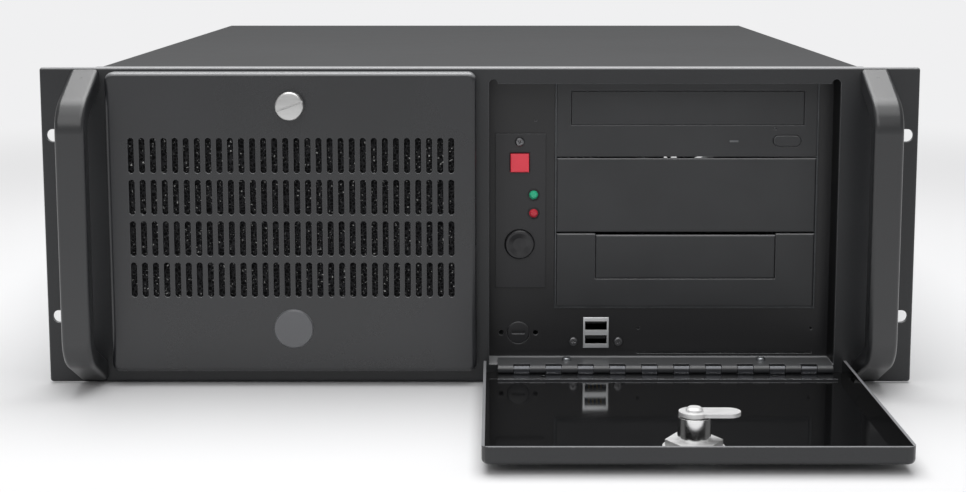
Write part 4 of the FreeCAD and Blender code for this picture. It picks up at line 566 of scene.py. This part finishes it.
# %% [markdown]
# ## Pan-head screws
# Five small machine screws show on the front: two hold the hinge leaf to the sill, one the control plate and
# two the port. Each has a domed head with a cross recess for the driver. The head is a cylinder whose rim
# gets a round bevel, the shank is extruded from an inset of its underside, and two tapered bars cut the
# recess. The two in the hinge leaf are zinc plated, the others blackened.

# %% Screws with a cross recess
HEAD_MM = 1.8
screw = start_piece("pan_screw", "cylinder", vertices=36, radius=2.6 * MM, depth=HEAD_MM * MM,
                    location=(0, 0, HEAD_MM / 2 * MM))
round_off(screw, 1.0, 5, lambda middle, way: middle.z > (HEAD_MM - 0.1) * MM)
choose(screw, "FACE", lambda middle, normal: normal.z < -0.9)
bpy.ops.mesh.inset(thickness=1.15 * MM)
push(0, 0, -4.9 * MM)
cross = start_box("driver_cross", (2.9, 0.7, 1.8), (0, 0, HEAD_MM * MM))
choose(cross, "FACE", lambda middle, normal: normal.z < -0.9)
bpy.ops.transform.resize(value=(0.5, 0.7, 1))
bpy.ops.mesh.select_all(action="SELECT")
bpy.ops.mesh.duplicate()
bpy.ops.transform.rotate(value=math.radians(90), orient_axis="Z", center_override=(0, 0, 0))
carve(screw, cross)
TURNED = (math.radians(90), math.radians(25), 0)
screws = copies(screw, "front_pan_screws", [
    (spot(48.6, 6, 11.5), (0, 0, 0.4)),   # hinge leaf, left
    (spot(158, 6, 11.5), (0, 0, 1.1)),    # hinge leaf, right
    (spot(22.2, 18.8, 133.9), TURNED),    # control plate
    (spot(52.95, 20, 19.1), TO_FRONT),    # port, left
    (spot(78.65, 20, 19.1), TURNED),      # port, right
])
dress(screws, blackened, "chassis", "black_screws", "front_screws")
LEAF_TOP = spot(0, 0, 15).z
second_finish(screws, zinc, lambda middle, normal: middle.z < LEAF_TOP)

# %% [markdown]
# ## Thumb screws of the cover
# The cover is held at the rear by three knurled thumb screws. The knob is a cylinder with softened rims.
# Every second face of its side is inset and pushed in, which makes the knurl, and a slot is cut for a driver.

# %% Knurled thumb screws
KNOB_MM, KNURL_DEGREES = 5.4, 7.5


def in_knurl(middle, normal):
    """Every second face round the knob's side."""
    angle = math.degrees(math.atan2(middle.y, middle.x))
    return abs(normal.z) < 0.1 and int(angle // KNURL_DEGREES) % 2 == 0


knob = start_piece("thumb_screw", "cylinder", vertices=48, radius=5.2 * MM, depth=KNOB_MM * MM,
                   location=(0, 0, KNOB_MM / 2 * MM))
round_off(knob, 0.5, 2, lambda middle, way: abs(way.z) < 0.1)
choose(knob, "FACE", in_knurl)
bpy.ops.mesh.inset(thickness=0.06 * MM, depth=-0.35 * MM, use_individual=True)
choose(knob, "FACE", lambda middle, normal: (
    normal.z < -0.9 and middle.z < 0.1 * MM and middle.xy.length < 1 * MM))
bpy.ops.mesh.inset(thickness=3.2 * MM)
push(0, 0, -6 * MM)
carve(knob, start_box("driver_slot", (12, 1.2, 2), (0, 0, KNOB_MM * MM)))
knobs = copies(knob, "cover_thumb_screws", [(spot(x, 491.2, 167.8), TO_REAR) for x in (-150, 0, 150)])
dress(knobs, blackened, "cover", "black_screws", "cover_screws")

# %% [markdown]
# ## Slotted fastener
# A quarter-turn stud holds the filter door shut. Its head is turned from bar and nickel plated: a smooth
# face, a broken rim and one slot for a coin. The head is a cylinder facing the front with a bevelled rim, the
# stud is extruded from an inset of its back, and a thin bar, turned as the slot is, cuts across it.

# %% Fastener
low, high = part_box("filter_fastener")
middle = (low + high) / 2
head_radius, head_depth, stud_radius = 7.75 * MM, 6 * MM, 2.5 * MM
stud = start_piece("slotted_fastener", "cylinder", vertices=72, radius=head_radius, depth=head_depth,
                   rotation=TO_FRONT, location=(middle.x, low.y + head_depth / 2, middle.z))
round_off(stud, 1.0, 3, lambda centre, way: centre.y < low.y + 0.1 * MM)
choose(stud, "FACE", lambda centre, normal: normal.y > 0.9)
bpy.ops.mesh.inset(thickness=head_radius - stud_radius)
push(0, high.y - low.y - head_depth, 0)
carve(stud, start_box("coin_slot", (20, 2.6, 1.1), (middle.x, low.y, middle.z), (0, math.radians(-20), 0)))
dress(stud, nickel, "fastener", "nickel", "filter_fastener")

# %% [markdown]
# ## Lamp collars
# Each lamp sits in a small black collar pressed into the control plate. A flat cylinder gets a bevelled rim
# and is bored through, so the lamp's dome shows in the middle of a dark ring.

# %% Collars
COLLAR_MM = 0.5
plate_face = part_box("control_plate")[0].y
places = []
for name in ("power_lamp", "disk_lamp"):
    low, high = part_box(name)
    middle = (low + high) / 2
    places.append(((middle.x, plate_face - COLLAR_MM / 2 * MM, middle.z), TO_FRONT))
lens_radius = (high.x - low.x) / 2 - 0.5 * MM
collar = start_piece("collar", "cylinder", vertices=40, radius=lens_radius + 0.9 * MM, depth=COLLAR_MM * MM)
round_off(collar, 0.2, 2, lambda centre, way: centre.z > 0.2 * MM)
bore = start_piece("bore", "cylinder", vertices=40, radius=lens_radius + 0.05 * MM, depth=2 * MM)
carve(collar, bore)
dress(copies(collar, "lamp_collars", places), black_abs, "chassis", "black_plastic")

# %% [markdown]
# ## Port plug
# A round hole for a keyboard socket is closed by a punched steel plug with a short slot. The plug's edge is
# rolled over, so a thin ring of light shows round it. It starts as a flat cylinder facing the front, its rim
# gets a round bevel, and a bar with round ends cuts the slot.

# %% Plug with a slot
PLUG_X, PLUG_Y, PLUG_Z, PLUG_MM = 21.6, 20, 24.1, 1.2
plug = start_piece("port_plug", "cylinder", vertices=64, radius=6.4 * MM, depth=PLUG_MM * MM,
                   rotation=TO_FRONT, location=spot(PLUG_X, PLUG_Y + PLUG_MM / 2, PLUG_Z))
face_y = FRONT + PLUG_Y * MM
round_off(plug, 0.6, 4, lambda middle, way: middle.y < face_y + 0.1 * MM)
bar = start_box("slot_bar", (7.7, 1.6, 1.8), spot(PLUG_X, PLUG_Y, PLUG_Z))
round_off(bar, 0.85, 5, lambda middle, way: abs(way.y) > 0.9)
carve(plug, bar)
dress(plug, plate_coat, "chassis", "black_paint", "port_blank")

# %% [markdown]
# ## Foam filter
# The pad behind the slots is soft open-cell foam. A grid is displaced by a cell texture, always inwards, so
# that the pad stays in its tray, and it is then extruded to its thickness with a flat back.

# %% Foam pad
low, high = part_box("filter_foam")
middle = (low + high) / 2
front_middle = (middle.x, low.y, middle.z)
foam = start_piece("foam_pad", "grid", x_subdivisions=140, y_subdivisions=74, size=1, rotation=TO_FRONT,
                   location=front_middle)
choose(foam, "FACE", lambda centre, normal: True)
bpy.ops.transform.resize(value=(high.x - low.x, 1, high.z - low.z), center_override=front_middle)
only(foam)
lumps = bpy.data.textures.new("foam_cells", "VORONOI")
lumps.noise_scale = 3.0 * MM
step = foam.modifiers.new("lumps", "DISPLACE")
step.texture, step.texture_coords, step.direction = lumps, "LOCAL", "Y"
step.mid_level, step.strength = 0.0, 1.1 * MM
bpy.ops.object.modifier_apply(modifier=step.name)
bpy.ops.object.mode_set(mode="EDIT")
bpy.ops.mesh.select_all(action="SELECT")
push(0, high.y - low.y, 0)
bpy.ops.transform.resize(value=(1, 0, 1), center_override=(0, high.y, 0))
bpy.ops.mesh.dissolve_faces()
bpy.ops.mesh.select_all(action="SELECT")
bpy.ops.mesh.normals_make_consistent(inside=False)
dress(foam, foam_black, "filter_door", "filter_foam", "filter_foam")

# %% [markdown]
# ## Port face
# The two stacked ports share a stamped shell whose front is folded inwards, so bright tin shows as a frame
# with a broad bar between two narrow openings. A thin plate is added at the shell's front, its outer rim is
# bevelled and two bars cut the openings.

# %% Folded front of the ports
low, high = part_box("usb_shell")
middle = (low + high) / 2
FOLD_MM, OPENING_MM, OPENING_OFF_MM = 1.1, 4.9, 4.0
wide_mm, tall_mm = (high.x - low.x) / MM, (high.z - low.z) / MM
face_plate = start_box("port_face", (wide_mm, 0.6, tall_mm), (middle.x, low.y + 0.2 * MM, middle.z))
round_off(face_plate, 0.25, 2, lambda centre, way: centre.y < low.y)
for side in (-1, 1):
    opening = start_box("opening", (wide_mm - 2 * FOLD_MM, 4, OPENING_MM),
                        (middle.x, low.y, middle.z + side * OPENING_OFF_MM * MM))
    carve(face_plate, opening)
dress(face_plate, bright_tin, "chassis", "zinc_steel")

# %% [markdown]
# ## Contacts and lamp window
# Each port has four gilt strips under its tongue, and the optical drive has a small window for its activity
# lamp. They are thin bars with bevelled ends, a fraction of a millimetre proud of what carries them.

# %% Port contacts and the drive's lamp window
PORT_X, TONGUE_FEET, STRIP_MM = 65.8, (20.85, 29.75), 0.16
strip = start_box("contact", (1.1, 8, STRIP_MM))
round_off(strip, 0.07, 2, lambda middle, way: abs(way.x) > 0.9 and middle.y < 0)
strips = copies(strip, "port_contacts", [
    (spot(PORT_X + x, 24.2, z - STRIP_MM / 2), UPRIGHT) for x in (-3.5, -1.2, 1.2, 3.5) for z in TONGUE_FEET])
dress(strips, brass, "chassis", "brass")
WINDOW = spot(142.5, 18.5, 134.2)
window = start_box("drive_lamp_window", (5, 0.5, 1.2), WINDOW)
round_off(window, 0.2, 3, lambda middle, way: middle.y < WINDOW.y - 0.2 * MM)
dress(window, smoked, "chassis", "bezel_plastic")

# %% [markdown]
# ## Rear sockets
# The block of rear ports has metal shells in its openings and threaded rims on the round jacks. A shell is a
# box whose rear face is inset and pushed in, which leaves a thin wall round a tongue. A rim is a short
# cylinder hollowed the same way. Behind the bright rim lies the black plastic that carries the contacts.

# %% Shells and rims
BLOCK_X, BOARD_TOP, REAR_Y, SHELL_MM, PLAY_MM = -34, 9.6, 490.0, 2.2, 0.6
SOCKETS = (  # left, width, foot and height in millimetres from the block's corner
    (6, 13, 4, 12), (6, 13, 18, 12), (26, 31, 5, 10), (26, 31, 19, 10),
    (64, 14, 3, 14), (64, 14, 19, 12), (84, 16, 4, 14), (84, 16, 20, 11))
shells = []
for x, wide, z, tall in SOCKETS:
    shell = start_box("socket_shell", (wide - PLAY_MM, SHELL_MM, tall - PLAY_MM),
                      spot(BLOCK_X + x + wide / 2, REAR_Y, BOARD_TOP + z + tall / 2))
    choose(shell, "FACE", lambda middle, normal: normal.y > 0.9)
    bpy.ops.mesh.inset(thickness=0.7 * MM)
    push(0, -1.8 * MM, 0)
    bpy.ops.mesh.inset(thickness=1.6 * MM)
    push(0, 1.4 * MM, 0)
    bpy.ops.object.mode_set(mode="OBJECT")
    shells.append(shell)
socket_shells = join(shells, "rear_socket_shells")
dress(socket_shells, bright_tin, "chassis", "zinc_steel")
rim = start_piece("jack_rim", "cylinder", vertices=32, radius=2.9 * MM, depth=SHELL_MM * MM)
choose(rim, "FACE", lambda middle, normal: normal.z > 0.9)
bpy.ops.mesh.inset(thickness=0.9 * MM)
push(0, 0, -1.9 * MM)
rims = copies(rim, "rear_jack_rims", [
    (spot(BLOCK_X + x, REAR_Y, BOARD_TOP + z), TO_REAR) for x in (112, 125, 138) for z in (9, 22)])
dress(rims, nickel, "chassis", "nickel")
rim_depth = spot(0, REAR_Y + 1, 0).y
for item in (socket_shells, rims):
    second_finish(item, black_abs, lambda middle, normal: middle.y < rim_depth)

# %% [markdown]
# ## Parts on the board
# With the cover slid off, the board shows. Electrolytic cans stand in rows by the processor, and flat chips
# lie between the slots. A can is a cylinder with a rolled rim and a sunk lid; a chip is a flat box with a
# bevel.

# %% Cans and chips
CAN_MM, CHIP_MM = 11, 2.4
can = start_piece("can", "cylinder", vertices=28, radius=4 * MM, depth=CAN_MM * MM,
                  location=(0, 0, CAN_MM / 2 * MM))
round_off(can, 0.7, 3, lambda middle, way: abs(way.z) < 0.1 and middle.z > (CAN_MM - 1) * MM)
choose(can, "FACE", lambda middle, normal: normal.z > 0.95 and middle.xy.length < 1 * MM)
bpy.ops.mesh.inset(thickness=0.6 * MM, depth=-0.3 * MM)
rows = [(-12 + 11 * (index % 2), 362 + 10 * index) for index in range(5)]
rows += [(102 + 10 * (index % 2), 312 + 10 * index) for index in range(9)]
cans = copies(can, "board_cans", [(spot(x, y, BOARD_TOP), UPRIGHT) for x, y in rows])
dress(cans, cast_alloy, "chassis", "disk_metal")
chip = start_box("chip", (26, 26, CHIP_MM), (0, 0, CHIP_MM / 2 * MM))
round_off(chip, 0.6, 2, lambda middle, way: middle.z > 2 * MM or abs(way.z) > 0.9)
chips = copies(chip, "board_chips", [
    (spot(x, y, BOARD_TOP), UPRIGHT) for x, y in ((-150, 290), (-100, 290), (-60, 272))])
dress(chips, black_abs, "chassis", "black_plastic")

# %% [markdown]
# ## Studio
# A pale floor and soft light. One panel hangs overhead: it brightens the cover, and the bends of the handles
# and doors throw it back as bright lines. A weak panel above the front and a wide one before it open up the
# shadows. Near the object the floor is plain paper and keeps the shadow. Further out it fades to a plain
# white that only the camera and mirrored rays see, so the background stays even and no more light falls on
# the object.

# %% Floor, world and lamps
FLOOR_M, PAPER_FADE, WHITE, WORLD_LIGHT = 60, (0.45, 1.3), "f0f0f1", 0.32
floor = start_piece("studio_floor", "plane", size=FLOOR_M, location=(0, 0, cad_box[0].z - 0.2 * MM))
paper, tree, shader, place = start_material("pale_paper", "ededee", 0.9)
vary_roughness(tree, shader, noise(tree, place, scale=3.0, detail=3.0), 0.85, 0.95)
reach = add(tree, "ShaderNodeVectorMath", {"operation": "LENGTH"}, None, {0: place})
fade = remap(tree, reach.outputs["Value"], PAPER_FADE, interpolation_type="SMOOTHSTEP")
rays = add(tree, "ShaderNodeLightPath").outputs
seen = math_node(tree, "MAXIMUM", None, {0: rays["Is Camera Ray"], 1: rays["Is Glossy Ray"]})
seen = math_node(tree, "MAXIMUM", None, {0: seen, 1: rays["Is Transmission Ray"]})
share = math_node(tree, "MULTIPLY", None, {0: fade, 1: seen})
glow = add(tree, "ShaderNodeEmission", None, {"Color": linear(WHITE), "Strength": 1.0})
blend = add(tree, "ShaderNodeMixShader", None, None, {0: share, 1: shader.outputs[0], 2: glow.outputs[0]})
end = next(node for node in tree.nodes if node.type == "OUTPUT_MATERIAL")
tree.links.new(blend.outputs[0], end.inputs["Surface"])
floor.data.materials.append(paper)

world = bpy.context.scene.world or bpy.data.worlds.new("studio")
bpy.context.scene.world = world
world.use_nodes = True
tree = world.node_tree
tree.nodes.clear()
air = add(tree, "ShaderNodeBackground", None, {"Color": (1, 1, 1, 1), "Strength": WORLD_LIGHT})
add(tree, "ShaderNodeOutputWorld", None, None, {"Surface": air.outputs[0]})


def softbox(name, place, target, size, watts):
    """A rectangular lamp at a place, turned to a target, with its two sides in metres."""
    bpy.ops.object.light_add(type="AREA", location=place)
    lamp = bpy.context.active_object
    lamp.name = name
    lamp.data.shape = "RECTANGLE"
    lamp.data.size, lamp.data.size_y = size
    lamp.data.energy = watts
    lamp.rotation_euler = (Vector(target) - Vector(place)).to_track_quat("-Z", "Y").to_euler()


softbox("overhead_panel", (0.0, 0.15, 1.25), (0.0, 0.15, 0.1), (1.2, 0.9), 13)
softbox("front_overhead", (0.0, -0.7, 1.22), (0.0, -0.45, 0.05), (1.2, 0.75), 5.5)
softbox("front_fill", (-0.3, -1.6, 1.05), (0.0, -0.25, 0.09), (1.7, 0.8), 6)
print("studio ready")

# %% [markdown]
# ## Camera
# The picture was taken from in front and a little above, with upright edges kept almost parallel. A full lens
# shift would throw other views out of the frame, so most of it is a slight tilt, and the shift stays small.

# %% Camera
TILT_DEGREES, LENS_MM, SENSOR_MM = 7.897, 63.56, 36
bpy.ops.object.camera_add(location=(0.0084, FRONT - 0.9326, 0.2451))
camera = bpy.context.active_object
camera.name = "camera"
camera.rotation_euler = (math.radians(90 - TILT_DEGREES), 0, 0)
camera.data.lens = LENS_MM
camera.data.sensor_width = SENSOR_MM
camera.data.shift_x, camera.data.shift_y = -0.0126, -0.07
bpy.context.scene.camera = camera
bpy.context.scene.view_settings.view_transform = "Standard"
print("camera at", tuple(round(value, 3) for value in camera.location))
